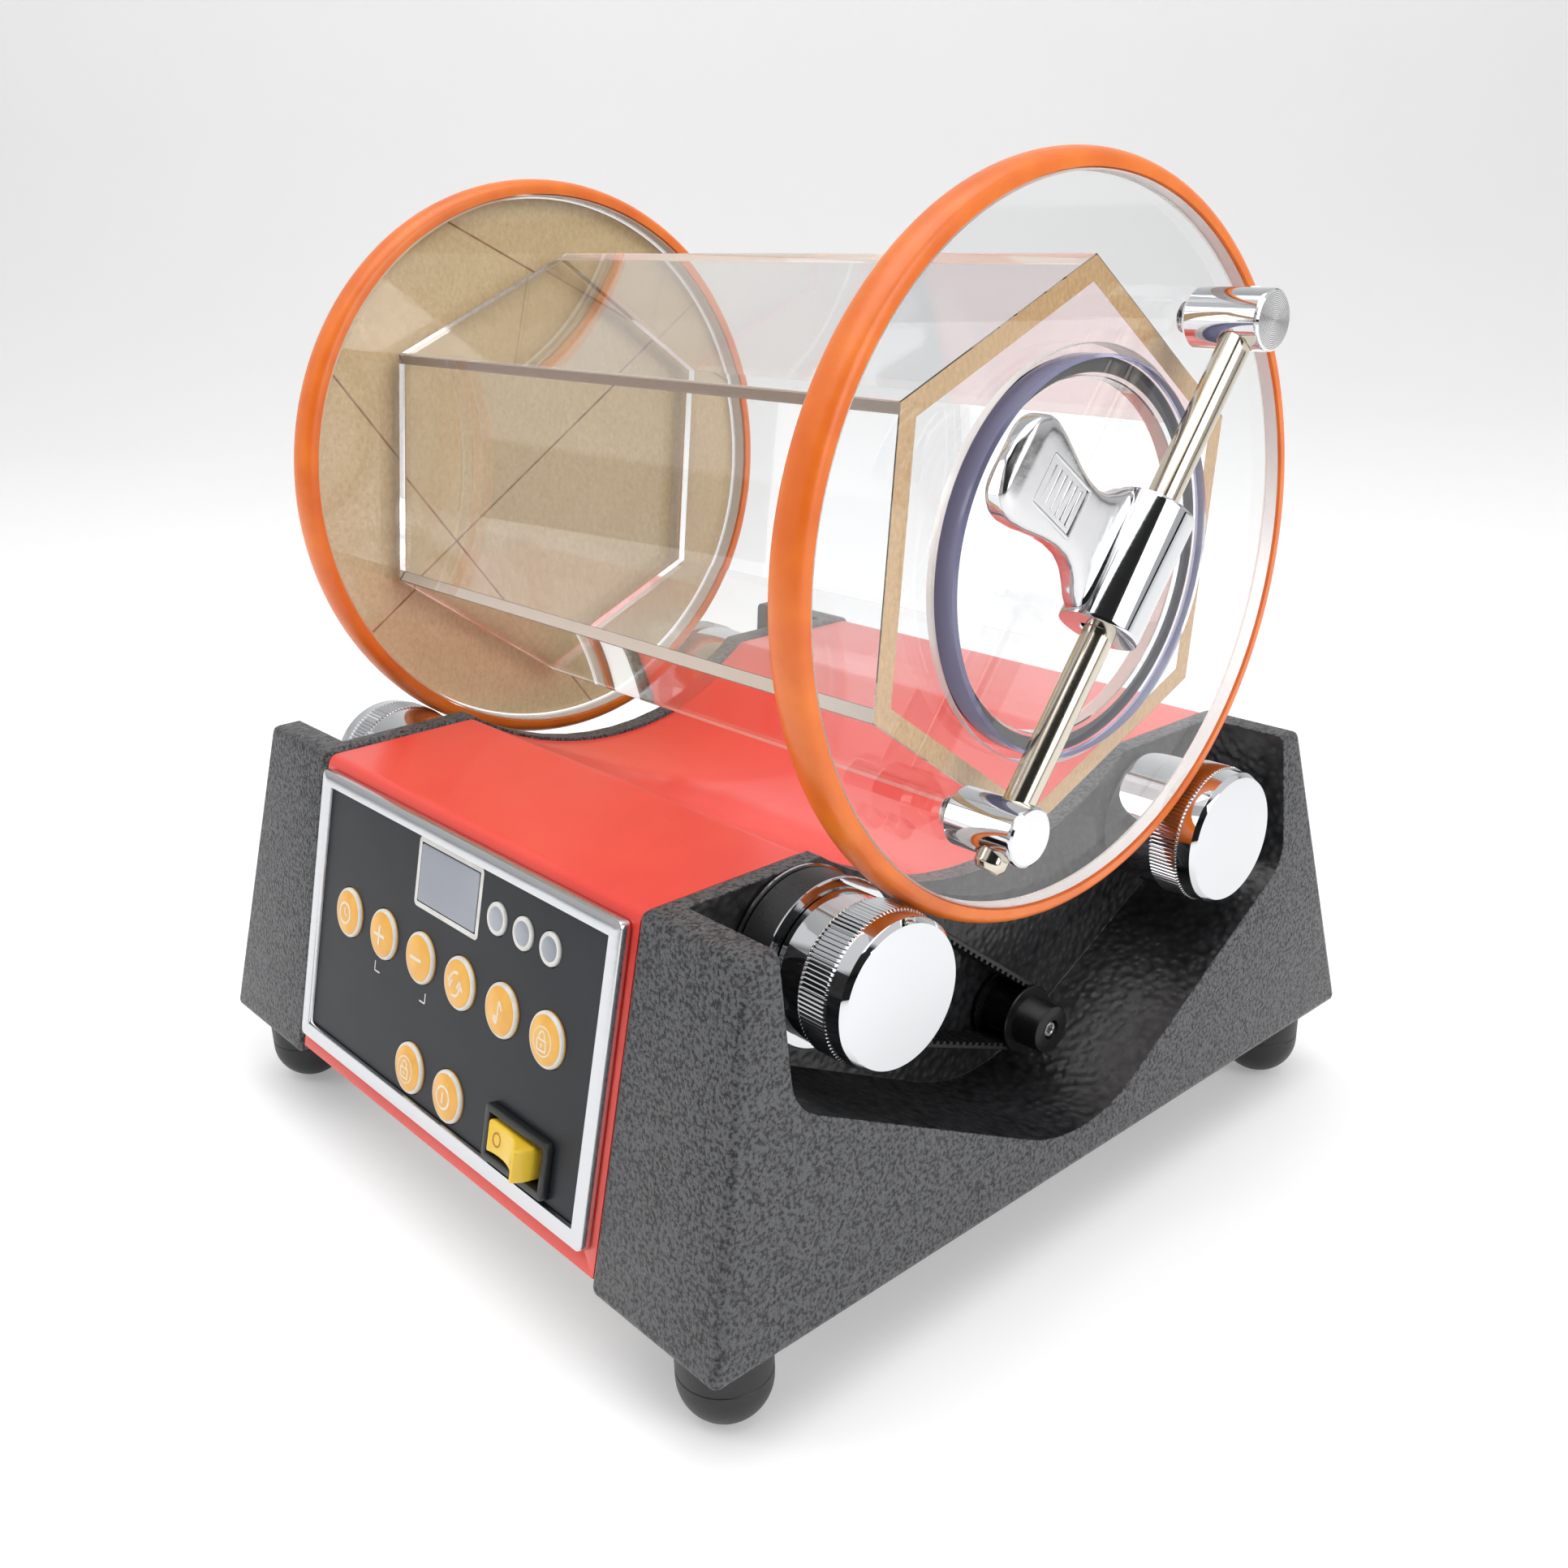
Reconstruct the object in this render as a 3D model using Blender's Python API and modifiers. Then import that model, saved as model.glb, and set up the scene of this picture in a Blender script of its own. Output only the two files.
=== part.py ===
"""Rotary rock tumbler: two cast end frames, a folded body between them, four rollers
and a clear hexagonal barrel held between two rubber-tyred discs.

Frame: +X is the machine's right as seen from its control panel, the panel faces -Y,
+Z is up, and the origin is on the table under the middle of the footprint. Lengths are
in metres.
"""
from math import atan2, cos, hypot, pi, radians, sin, sqrt

import bmesh
import bpy
from mathutils import Matrix, Vector

MM = 0.001
GAP = 0.3 * MM                       # running or assembly gap between neighbours

# End frames
FRAME_IN = 81 * MM                   # inner face of each casting, from the middle
FRAME_OUT_LOW = 130.5 * MM           # outer face at the bottom
FRAME_OUT_TOP = 120.5 * MM           # outer face at the top: it leans in
FRAME_LOW, FRAME_TOP = 26 * MM, 124 * MM
DEPTH_LOW, DEPTH_TOP = 135 * MM, 112 * MM    # half depth at the bottom and at the top
WALL_OUT = 88 * MM                   # outer side of the wall that carries the bearings
HORN_Y = 103 * MM                    # inner side of the front and rear horns
VALLEY_Z, VALLEY_SLOPE = 30 * MM, 0.528      # the channel floor is a V with a round bottom
VALLEY_R, CORNER_R = 50 * MM, 12 * MM
FOOT_FLAT = 3 * MM                   # the rubber balls are flat where they stand
SCALLOP_R, SCALLOP_Z = 102 * MM, 206.5 * MM  # round dip that clears the barrel

# The shapes are drawn round the drum's middle, then moved so that the origin is the
# middle of the whole machine's footprint: the clamp reaches further right than the left frame.
MIDDLE = (6.6 * MM, -1.8 * MM, 0)

# Drum
DRUM_Z = 194.6 * MM
TYRE_R, DISC_R = 95 * MM, 90 * MM
DISC_X, DISC_T = 113.7 * MM, 10 * MM
TYRE_W = 11 * MM
BARREL_R, BARREL_WALL = 72 * MM, 5 * MM
DRUM_TURN = radians(-7)              # how far the hexagon is turned at rest
BORE_R, LEDGE_R, LEDGE_X = 51.6 * MM, 44 * MM, 113.3 * MM
LID_R, LID_X, LID_OUT = 49.5 * MM, 115.3 * MM, 122.8 * MM
SEAL_IN, SEAL_OUT = 45 * MM, 49 * MM

# Clamp
ROD_TILT = radians(52.2)             # rod direction above the +Y axis
ROD_X, ROD_R = 134 * MM, 4 * MM
POST_AT, POST_R, POST_END, STUD_R = 69.7 * MM, 7.5 * MM, 141.5 * MM, 3.8 * MM
HUB_R, HUB_OFF, HUB_LONG = 10.2 * MM, 0.7 * MM, 34 * MM

# Rollers
ROLL_Y, ROLL_Z = 69.4 * MM, 101.9 * MM
SMOOTH_R, KNURL_R, SHAFT_R = 19.8 * MM, 20.5 * MM, 5 * MM
BEARING_R = 11 * MM
WHEEL_END = 126.2 * MM
BELT_LOW, BELT_HIGH = 90 * MM, 100 * MM
BIG_R, SMALL_R, BELT_T = 19.4 * MM, 7.6 * MM, 2.2 * MM
MOTOR_Y, MOTOR_Z = 8.8 * MM, 55.6 * MM

# Front panel, in its own frame: x to the right, y up the slope, z out of it
PANEL_HALF, PANEL_LOW, PANEL_HIGH = 78 * MM, 9.7 * MM, 96.7 * MM
BORDER, BEZEL_T, OVERLAY_T = 5 * MM, 3 * MM, 1.5 * MM
BUTTON_R, BUTTON_PITCH = 7.6 * MM, 21.5 * MM
BUTTON_ROW, LOWER_ROW = 57 * MM, 23.5 * MM
ROCKER_TILT = radians(14)            # either way from level
SKIN = 1.5 * MM                      # sheet thickness of the body cover
RECESS = 1.0 * MM                    # the cover lies this far inside the castings' outline

for old in list(bpy.data.objects):
    bpy.data.objects.remove(old, do_unlink=True)
PARTS = bpy.data.collections.new("rotary_rock_tumbler")
CUTTERS = bpy.data.collections.new("cutters")
for group in (PARTS, CUTTERS):
    bpy.context.scene.collection.children.link(group)


def finish(name, colour, roughness, metallic=0.0):
    """A Principled material with the sub-part's own colour."""
    mat = bpy.data.materials.new(name)
    mat.use_nodes = True
    shader = mat.node_tree.nodes["Principled BSDF"]
    shader.inputs["Base Color"].default_value = (*colour, 1)
    shader.inputs["Roughness"].default_value = roughness
    shader.inputs["Metallic"].default_value = metallic
    mat.diffuse_color = (*colour, 1)
    return mat


FINISHES = {
    "casting": finish("hammered_grey", (0.075, 0.077, 0.08), 0.45),
    "red": finish("red_paint", (0.80, 0.055, 0.03), 0.35),
    "chrome": finish("chrome", (0.9, 0.9, 0.9), 0.08, 1.0),
    "steel": finish("steel", (0.6, 0.6, 0.58), 0.3, 1.0),
    "panel": finish("panel_black", (0.03, 0.032, 0.037), 0.4),
    "amber": finish("amber_button", (0.9, 0.42, 0.06), 0.4),
    "yellow": finish("yellow_rocker", (0.9, 0.6, 0.02), 0.35),
    "grey": finish("display_grey", (0.35, 0.37, 0.42), 0.3),
    "clear": finish("clear_acrylic", (0.85, 0.87, 0.9), 0.05),
    "orange": finish("orange_rubber", (0.85, 0.2, 0.02), 0.5),
    "rubber": finish("black_rubber", (0.015, 0.015, 0.015), 0.6),
    "kraft": finish("kraft_paper", (0.62, 0.43, 0.22), 0.8),
    "board": finish("circuit_board", (0.02, 0.2, 0.07), 0.5),
}


def place(obj, group=PARTS):
    group.objects.link(obj)
    if group is CUTTERS:
        obj.hide_render = True
        obj.display_type = "WIRE"
    return obj


def from_bmesh(name, bm, kind=None, group=PARTS):
    mesh = bpy.data.meshes.new(name)
    bmesh.ops.recalc_face_normals(bm, faces=bm.faces)
    bm.to_mesh(mesh)
    bm.free()
    if kind:
        mesh.materials.append(FINISHES[kind])
    return place(bpy.data.objects.new(name, mesh), group)


def apply_place(obj, matrix):
    obj.data.transform(matrix)
    obj.data.update()
    return obj


def box(name, low, high, kind=None, group=PARTS, matrix=None):
    """An axis-aligned box between two corners, then carried by a matrix."""
    bm = bmesh.new()
    bmesh.ops.create_cube(bm, size=1)
    size = [b - a for a, b in zip(low, high)]
    middle = [(a + b) / 2 for a, b in zip(low, high)]
    bmesh.ops.scale(bm, vec=size, verts=bm.verts)
    bmesh.ops.translate(bm, vec=middle, verts=bm.verts)
    obj = from_bmesh(name, bm, kind, group)
    return apply_place(obj, matrix) if matrix else obj


def cylinder(name, radius, low, high, matrix, kind=None, group=PARTS, sides=32, top=None):
    """A cylinder or cone from z = low to z = high of the given frame."""
    bm = bmesh.new()
    bmesh.ops.create_cone(bm, cap_ends=True, segments=sides, radius1=radius,
                          radius2=radius if top is None else top, depth=high - low)
    bmesh.ops.translate(bm, vec=(0, 0, (low + high) / 2), verts=bm.verts)
    return apply_place(from_bmesh(name, bm, kind, group), matrix)


def outline(name, points, low, high, matrix, kind=None, group=PARTS, holes=()):
    """A flat outline in the frame's xy plane, filled and drawn out from z = low to high."""
    curve = bpy.data.curves.new(name, "CURVE")
    curve.dimensions = "2D"
    curve.fill_mode = "BOTH"
    curve.extrude = (high - low) / 2
    for loop in (points, *holes):
        spline = curve.splines.new("POLY")
        spline.points.add(len(loop) - 1)
        for point, (x, y) in zip(spline.points, loop):
            point.co = (x, y, 0, 1)
        spline.use_cyclic_u = True
    guide = place(bpy.data.objects.new(name + "_guide", curve), CUTTERS)
    graph = bpy.context.evaluated_depsgraph_get()
    mesh = bpy.data.meshes.new_from_object(guide.evaluated_get(graph))
    bpy.data.objects.remove(guide, do_unlink=True)
    bm = bmesh.new()
    bm.from_mesh(mesh)
    bpy.data.meshes.remove(mesh)
    bmesh.ops.remove_doubles(bm, verts=bm.verts, dist=1e-5)
    bmesh.ops.translate(bm, vec=(0, 0, (low + high) / 2), verts=bm.verts)
    return apply_place(from_bmesh(name, bm, kind, group), matrix)


def turned(name, profile, matrix, kind=None, steps=40, group=PARTS):
    """A profile of (radius, height) points, top to bottom on the outside, turned round z."""
    mesh = bpy.data.meshes.new(name)
    closed = profile[0][0] > 0 and profile[-1][0] > 0
    edges = [(i, i + 1) for i in range(len(profile) - 1)]
    if closed:
        edges.append((len(profile) - 1, 0))
    mesh.from_pydata([(r, 0, z) for r, z in profile], edges, [])
    obj = place(bpy.data.objects.new(name, mesh), group)
    screw = obj.modifiers.new("turn", "SCREW")
    screw.steps = screw.render_steps = steps
    screw.use_merge_vertices = True
    screw.merge_threshold = 1e-5
    graph = bpy.context.evaluated_depsgraph_get()
    solid = bpy.data.meshes.new_from_object(obj.evaluated_get(graph))
    obj.modifiers.clear()
    obj.data = solid
    bpy.data.meshes.remove(mesh)
    solid.name = name
    solid.materials.clear()
    if kind:
        solid.materials.append(FINISHES[kind])
    return apply_place(obj, matrix)


def smooth(obj, angle=35):
    obj.data.shade_smooth()
    obj.data.set_sharp_from_angle(angle=radians(angle))
    return obj


def boolean(obj, other, operation="DIFFERENCE"):
    modifier = obj.modifiers.new(operation.lower() + "_" + other.name, "BOOLEAN")
    modifier.operation = operation
    modifier.object = other
    return obj


def join(obj, other):
    """Joins a hidden shape to an object."""
    return boolean(obj, other, "UNION")


def bevel(obj, width, segments=2, angle=30):
    modifier = obj.modifiers.new("edges", "BEVEL")
    modifier.width = width
    modifier.segments = segments
    modifier.limit_method = "ANGLE"
    modifier.angle_limit = radians(angle)
    return obj


def on_axis(objects, name, at):
    """Parents moving pieces to an empty that stands on their joint's axis."""
    pivot = place(bpy.data.objects.new(name, None))
    pivot.location = at
    pivot.empty_display_size = 0.02
    bpy.context.view_layer.update()
    for obj in objects:
        obj.parent = pivot
        obj.matrix_parent_inverse = Matrix.Translation(-Vector(at))
    return pivot


def arc(cx, cy, radius, start, end, count):
    """Points of a circular arc, both ends included; angles in degrees."""
    step = (end - start) / (count - 1)
    angles = [radians(start + step * i) for i in range(count)]
    return [(cx + radius * cos(a), cy + radius * sin(a)) for a in angles]


def frame_of(x_axis, y_axis, origin=(0, 0, 0)):
    """A frame from two unit axes and an origin."""
    x_axis, y_axis = Vector(x_axis), Vector(y_axis)
    rows = Matrix((x_axis, y_axis, x_axis.cross(y_axis))).transposed().to_4x4()
    return Matrix.Translation(Vector(origin)) @ rows


def rect(x0, y0, x1, y1, radius=0.0, count=5):
    """A rectangle with round corners."""
    if not radius:
        return [(x0, y0), (x1, y0), (x1, y1), (x0, y1)]
    corners = ((x1 - radius, y0 + radius, -90), (x1 - radius, y1 - radius, 0),
               (x0 + radius, y1 - radius, 90), (x0 + radius, y0 + radius, 180))
    return [p for cx, cy, a in corners for p in arc(cx, cy, radius, a, a + 90, count)]


ALONG_X = frame_of((0, 1, 0), (0, 0, 1))             # local x, y, z are Y, Z, X
SLANT = hypot(DEPTH_LOW - DEPTH_TOP, FRAME_TOP - FRAME_LOW)
UP_Y, UP_Z = (DEPTH_LOW - DEPTH_TOP) / SLANT, (FRAME_TOP - FRAME_LOW) / SLANT
PANEL = frame_of((1, 0, 0), (0, UP_Y, UP_Z), (0, -DEPTH_LOW, FRAME_LOW))
BACK = frame_of((-1, 0, 0), (0, -UP_Y, UP_Z), (0, DEPTH_LOW, FRAME_LOW))
MIRROR_X = Matrix.Scale(-1, 4, (1, 0, 0))


def axis_at(y, z):
    return Matrix.Translation((0, y, z)) @ ALONG_X


def channel_outline():
    """The open channel of an end frame, seen along X: a V with a round bottom, upright sides."""
    slope = atan2(VALLEY_SLOPE, 1)
    bottom = VALLEY_Z + VALLEY_R / cos(slope)
    low = arc(0, bottom, VALLEY_R, -90 - slope * 180 / pi, -90 + slope * 180 / pi, 9)
    turn = HORN_Y - CORNER_R
    height = VALLEY_Z + VALLEY_SLOPE * turn + CORNER_R / cos(slope)
    right = arc(turn, height, CORNER_R, -90 + slope * 180 / pi, 0, 6)
    left = [(-y, z) for y, z in reversed(right)]
    above = FRAME_TOP + 30 * MM
    return [(-HORN_Y, above), *left, *low, *right, (HORN_Y, above)]


def end_frame(side):
    """A cast end frame: leaning outer faces, a channel for the rollers, hollow from below."""
    name = "end_frame_right" if side > 0 else "end_frame_left"
    mirror = Matrix.Identity(4) if side > 0 else MIRROR_X
    bm = bmesh.new()
    bmesh.ops.create_cube(bm, size=2)
    for vert in bm.verts:
        top = vert.co.z > 0
        outer = FRAME_OUT_TOP if top else FRAME_OUT_LOW
        x = outer if vert.co.x > 0 else FRAME_IN
        y = (DEPTH_TOP if top else DEPTH_LOW) * vert.co.y
        vert.co = (x * side, y, FRAME_TOP if top else FRAME_LOW)
    body = from_bmesh(name, bm, "casting")
    bevel(body, 2 * MM, 2)
    channel = outline(name + "_channel", channel_outline(), WALL_OUT, 0.2, ALONG_X,
                      group=CUTTERS)
    dip = cylinder(name + "_dip", SCALLOP_R, 0.07, 0.2, axis_at(0, SCALLOP_Z),
                   group=CUTTERS, sides=64)
    cutters = [channel, dip]
    rise = VALLEY_SLOPE * 100 * MM + VALLEY_Z - 8 * MM
    for sign in (-1, 1):
        hollow = [(sign * 100 * MM, 0.01), (sign * 100 * MM, rise), (sign * 32 * MM, 38 * MM),
                  (sign * 32 * MM, 0.01)]
        cutters.append(outline(f"{name}_hollow_{sign + 1}", hollow, 90 * MM, 114 * MM,
                               ALONG_X, group=CUTTERS))
        cutters.append(cylinder(f"{name}_bearing_{sign + 1}", BEARING_R + GAP, 0.07, 0.1,
                                axis_at(sign * ROLL_Y, ROLL_Z), group=CUTTERS, sides=24))
    if side > 0:
        cutters.append(cylinder("motor_shaft_hole", 6 * MM, 0.07, 0.1,
                                axis_at(MOTOR_Y, MOTOR_Z), group=CUTTERS))
    for cutter in cutters:
        if side < 0:
            apply_place(cutter, mirror)
            cutter.data.flip_normals()
        boolean(body, cutter)
    return body


def cover_outline(inset):
    """Half of the body's cross-section as (y, z), front bottom to middle, moved in by inset."""
    dip_r, dip_z = SCALLOP_R + inset, SCALLOP_Z
    roof = FRAME_TOP - inset
    ridge = sqrt(dip_r ** 2 - (dip_z - roof) ** 2)
    swing = atan2(ridge, dip_z - roof) * 180 / pi
    low = FRAME_LOW + 3.3 * MM
    lean = UP_Y / UP_Z
    side = inset / UP_Z
    front = [(-DEPTH_LOW + side + (low - FRAME_LOW) * lean, low),
             (-DEPTH_LOW + side + (roof - FRAME_LOW) * lean, roof)]
    return front + arc(0, dip_z, dip_r, -90 - swing, -90, 12)


def body_cover():
    """One folded sheet: sloped front, roof with a round valley, sloped back."""
    outer, inner = cover_outline(RECESS), cover_outline(RECESS + SKIN)
    other = [(-y, z) for y, z in reversed(outer[:-1])]
    other_inner = [(-y, z) for y, z in reversed(inner[:-1])]
    loop = outer + other + list(reversed(inner + other_inner))
    body = outline("body_cover", loop, -FRAME_IN + GAP, FRAME_IN - GAP, ALONG_X, "red")
    hole = 70 * MM
    boolean(body, outline("panel_hole", rect(-hole, 15.4 * MM, hole, 90 * MM), -0.01, 0.01,
                          PANEL, group=CUTTERS))
    boolean(body, box("inlet_hole", (-14.5 * MM, 24.5 * MM, -0.01), (14.5 * MM, 45.5 * MM, 0.01),
                      group=CUTTERS, matrix=BACK))
    boolean(body, cylinder("fuse_hole", 6.5 * MM, -0.01, 0.01,
                           BACK @ Matrix.Translation((-0.036, 0.035, 0)), group=CUTTERS))
    return body


def front_panel():
    """Bezel, overlay, window, lamps, buttons and rocker switch on the sloped front."""
    floor = -RECESS + GAP                    # the bezel and the overlay lie on the cover
    high = floor + BEZEL_T
    inner = rect(-PANEL_HALF + BORDER, PANEL_LOW + BORDER, PANEL_HALF - BORDER,
                 PANEL_HIGH - BORDER, 1 * MM)
    outline("front_bezel", rect(-PANEL_HALF, PANEL_LOW, PANEL_HALF, PANEL_HIGH, 2 * MM),
            floor, high, PANEL, "chrome", holes=(inner,))
    inset = BORDER + GAP
    plate = rect(-PANEL_HALF + inset, PANEL_LOW + inset, PANEL_HALF - inset, PANEL_HIGH - inset)
    overlay = outline("panel_overlay", plate, floor, floor + OVERLAY_T, PANEL, "panel")
    face = floor + OVERLAY_T
    window = (-17.2 * MM, 72.8 * MM, 13.4 * MM, 89.6 * MM)
    grown = (window[0] - GAP, window[1] - GAP, window[2] + GAP, window[3] + GAP)
    boolean(overlay, box("window_hole", (*grown[:2], -0.01), (*grown[2:], 0.01),
                         group=CUTTERS, matrix=PANEL))
    box("display_window", (*window[:2], floor - 1.5 * MM), (*window[2:], face + 0.2 * MM), "grey",
        matrix=PANEL)
    for index, x in enumerate((23.8 * MM, 36.4 * MM, 49 * MM)):
        at = PANEL @ Matrix.Translation((x, 80.2 * MM, 0))
        boolean(overlay, cylinder(f"lamp_hole_{index}", 4.6 * MM + GAP, -0.01, 0.01, at,
                                  group=CUTTERS))
        profile = [(0, face + 0.9 * MM), (3 * MM, face + 0.7 * MM), (4.6 * MM, face + 0.3 * MM),
                   (4.6 * MM, floor - 3 * MM), (0, floor - 3 * MM)]
        turned(f"indicator_lamp_{index + 1}", profile, at, "grey", steps=14)
    names = ("timer", "faster", "slower", "direction", "alarm", "memory_right")
    spots = [(n, -55 * MM + i * BUTTON_PITCH, BUTTON_ROW) for i, n in enumerate(names)]
    spots += [("memory_left", -12 * MM, LOWER_ROW), ("start", 9.5 * MM, LOWER_ROW)]
    for name, x, y in spots:
        at = PANEL @ Matrix.Translation((x, y, 0))
        boolean(overlay, cylinder(name + "_hole", BUTTON_R + GAP, -0.01, 0.01, at,
                                  group=CUTTERS, sides=32))
        profile = [(0, face + 2.0 * MM), (3.5 * MM, face + 1.85 * MM), (6.2 * MM, face + 1.3 * MM),
                   (BUTTON_R, face + 0.8 * MM), (BUTTON_R, floor - 3 * MM), (0, floor - 3 * MM)]
        key = turned("button_" + name, profile, at, "amber", steps=18)
        on_axis([key], "press_" + name, at.translation)
    left, right, low, high = 31.2 * MM, 60.8 * MM, 15.6 * MM, 31.8 * MM
    boolean(overlay, box("switch_hole", (left + 1.2 * MM, low + 1.2 * MM, -0.01),
                         (right - 1.2 * MM, high - 1.2 * MM, 0.01), group=CUTTERS, matrix=PANEL))
    housing = outline("switch_housing", rect(left, low, right, high, 1 * MM), face + GAP,
                      face + 2.3 * MM, PANEL, "rubber")
    join(housing, box("switch_body", (left + 1.6 * MM, low + 1.6 * MM, -16 * MM),
                      (right - 1.6 * MM, high - 1.6 * MM, face + 1 * MM), group=CUTTERS,
                      matrix=PANEL))
    boolean(housing, box("switch_well", (left + 2.4 * MM, low + 2.9 * MM, -10 * MM),
                         (right - 2.4 * MM, high - 2.9 * MM, 0.02), group=CUTTERS, matrix=PANEL))
    middle, across = (left + right) / 2, (low + high) / 2
    pivot_z = face - 1.5 * MM
    half, thick, top = 10.2 * MM, 4.6 * MM, 7.1 * MM
    rocker_frame = PANEL @ Matrix.Translation((middle, across, pivot_z))
    rocker_frame = rocker_frame @ frame_of((1, 0, 0), (0, 0, 1))
    rocker_frame = rocker_frame @ Matrix.Rotation(ROCKER_TILT, 4, "Z")
    below = [(-half, 3 * MM), (-half + 1.4 * MM, -2.4 * MM), (0, -4.2 * MM),
             (half - 1.4 * MM, -2.4 * MM), (half, 3 * MM)]
    dished = [(half, top - 0.8 * MM), (half - 0.8 * MM, top), (0.75 * half, top - 0.7 * MM),
              (0.4 * half, top - 1.9 * MM), (0, top - 2.4 * MM)]
    shape = below + dished + [(-x, z) for x, z in reversed(dished[:-1])]
    rocker = outline("switch_rocker", shape, -thick, thick, rocker_frame, "yellow")
    on_axis([rocker], "rocker_pin", rocker_frame.translation)
    box("control_board", (-62 * MM, 18 * MM, -19.6 * MM), (62 * MM, 88 * MM, -18 * MM), "board",
        matrix=PANEL)
    smooth(overlay)


def rear_fittings():
    """Mains inlet and fuse holder on the sloped back."""
    seat = -RECESS + GAP
    inlet = outline("power_inlet", rect(-24 * MM, 22 * MM, 24 * MM, 48 * MM, 4 * MM), seat,
                    seat + 2.2 * MM, BACK, "rubber")
    join(inlet, box("inlet_body", (-13.8 * MM, 25.2 * MM, -18 * MM),
                    (13.8 * MM, 44.8 * MM, seat + 1 * MM), group=CUTTERS, matrix=BACK))
    mouth = [(-12 * MM, 27 * MM), (12 * MM, 27 * MM), (12 * MM, 38 * MM), (8 * MM, 43 * MM),
             (-8 * MM, 43 * MM), (-12 * MM, 38 * MM)]
    boolean(inlet, outline("inlet_mouth", mouth, -15 * MM, 0.02, BACK, group=CUTTERS))
    for index, (x, y) in enumerate(((0, 37 * MM), (-6 * MM, 32 * MM), (6 * MM, 32 * MM))):
        join(inlet, box(f"inlet_pin_{index}", (x - 1 * MM, y - 2 * MM, -16 * MM),
                        (x + 1 * MM, y + 2 * MM, -4 * MM), group=CUTTERS, matrix=BACK))
    profile = [(0, seat + 8 * MM), (5.5 * MM, seat + 8 * MM), (6.5 * MM, seat + 7 * MM),
               (6.5 * MM, seat + 2 * MM), (8.5 * MM, seat + 2 * MM), (8.5 * MM, seat),
               (6 * MM, seat), (6 * MM, -20 * MM), (0, -20 * MM)]
    turned("fuse_holder", profile, BACK @ Matrix.Translation((-0.036, 0.035, 0)), "rubber", 28)


def foot(name, x, y):
    """A rubber foot: a half ball on a short neck."""
    profile = [(0, FRAME_LOW - GAP), (12.3 * MM, FRAME_LOW - GAP)]
    profile += [(12.3 * MM * cos(a), 12.3 * MM - 12.3 * MM * sin(a))
                for a in (radians(12 * i) for i in range(7))]
    profile += [(FOOT_FLAT, 0), (0, 0)]
    smooth(turned(name, profile, Matrix.Translation((x, y, 0)), "rubber", 20))


def roller(side, end, driven=False):
    """One chrome roller: a plain band, the knurled band that grips the tyre, and the end."""
    name = f"roller_{end}_{'right' if side > 0 else 'left'}"
    y = -ROLL_Y if end == "front" else ROLL_Y
    bore = SHAFT_R + GAP
    inner = BELT_HIGH + 1.6 * MM if driven else WALL_OUT + 1.2 * MM
    profile = [(0, WHEEL_END), (SMOOTH_R - 1.2 * MM, WHEEL_END), (SMOOTH_R, WHEEL_END - 1.2 * MM),
               (SMOOTH_R, 120.6 * MM), (KNURL_R, 120.2 * MM), (KNURL_R, 111.2 * MM),
               (SMOOTH_R, 110.8 * MM), (SMOOTH_R, inner), (bore, inner), (bore, 121 * MM),
               (0, 121 * MM)]
    matrix = axis_at(y, ROLL_Z)
    if side < 0:
        matrix = matrix @ Matrix.Rotation(pi, 4, "X")
    return smooth(turned(name, profile, matrix, "chrome", 32))


def roller_set(end):
    """A shaft through both end frames with a roller at each end, on one pivot."""
    y = -ROLL_Y if end == "front" else ROLL_Y
    driven = end == "front"
    pieces = [roller(1, end, driven), roller(-1, end)]
    shaft_end = 120.7 * MM
    name = "drive_shaft" if driven else "idler_shaft"
    pieces.append(smooth(cylinder(name, SHAFT_R, -shaft_end, shaft_end, axis_at(y, ROLL_Z),
                                  "steel", sides=32)))
    if driven:
        low, high = WALL_OUT + 0.8 * MM, BELT_HIGH + 1.3 * MM
        rim = BIG_R + BELT_T + 1 * MM
        profile = [(rim, high), (rim, high - 0.9 * MM), (BIG_R, high - 0.9 * MM),
                   (BIG_R, low + 0.9 * MM), (rim, low + 0.9 * MM), (rim, low),
                   (SHAFT_R + GAP, low), (SHAFT_R + GAP, high)]
        pieces.append(smooth(turned("drive_pulley", profile, axis_at(y, ROLL_Z), "chrome", 32)))
    on_axis(pieces, end + "_roller_axis", (0, y, ROLL_Z))
    for side in (-1, 1):
        low, high = FRAME_IN + 0.2 * MM, WALL_OUT - 0.2 * MM
        where = axis_at(y, ROLL_Z)
        profile = [(BEARING_R, high), (BEARING_R, low), (SHAFT_R + GAP, low),
                   (SHAFT_R + GAP, high)]
        if side < 0:
            where = where @ Matrix.Rotation(pi, 4, "X")
        smooth(turned(f"bearing_{end}_{'right' if side > 0 else 'left'}", profile, where,
                      "steel", 24))


def belt_outline(offset):
    """The belt's loop round both pulleys, as (y, z), at a distance from the pulleys."""
    dy, dz = MOTOR_Y + ROLL_Y, MOTOR_Z - ROLL_Z
    reach = hypot(dy, dz)
    heading = atan2(dz, dy) * 180 / pi
    tilt = 90 - atan2(BIG_R - SMALL_R, reach) * 180 / pi
    big = arc(-ROLL_Y, ROLL_Z, BIG_R + offset, heading + tilt, heading + 360 - tilt, 25)
    small = arc(MOTOR_Y, MOTOR_Z, SMALL_R + offset, heading - tilt, heading + tilt, 9)
    return big + small


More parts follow.
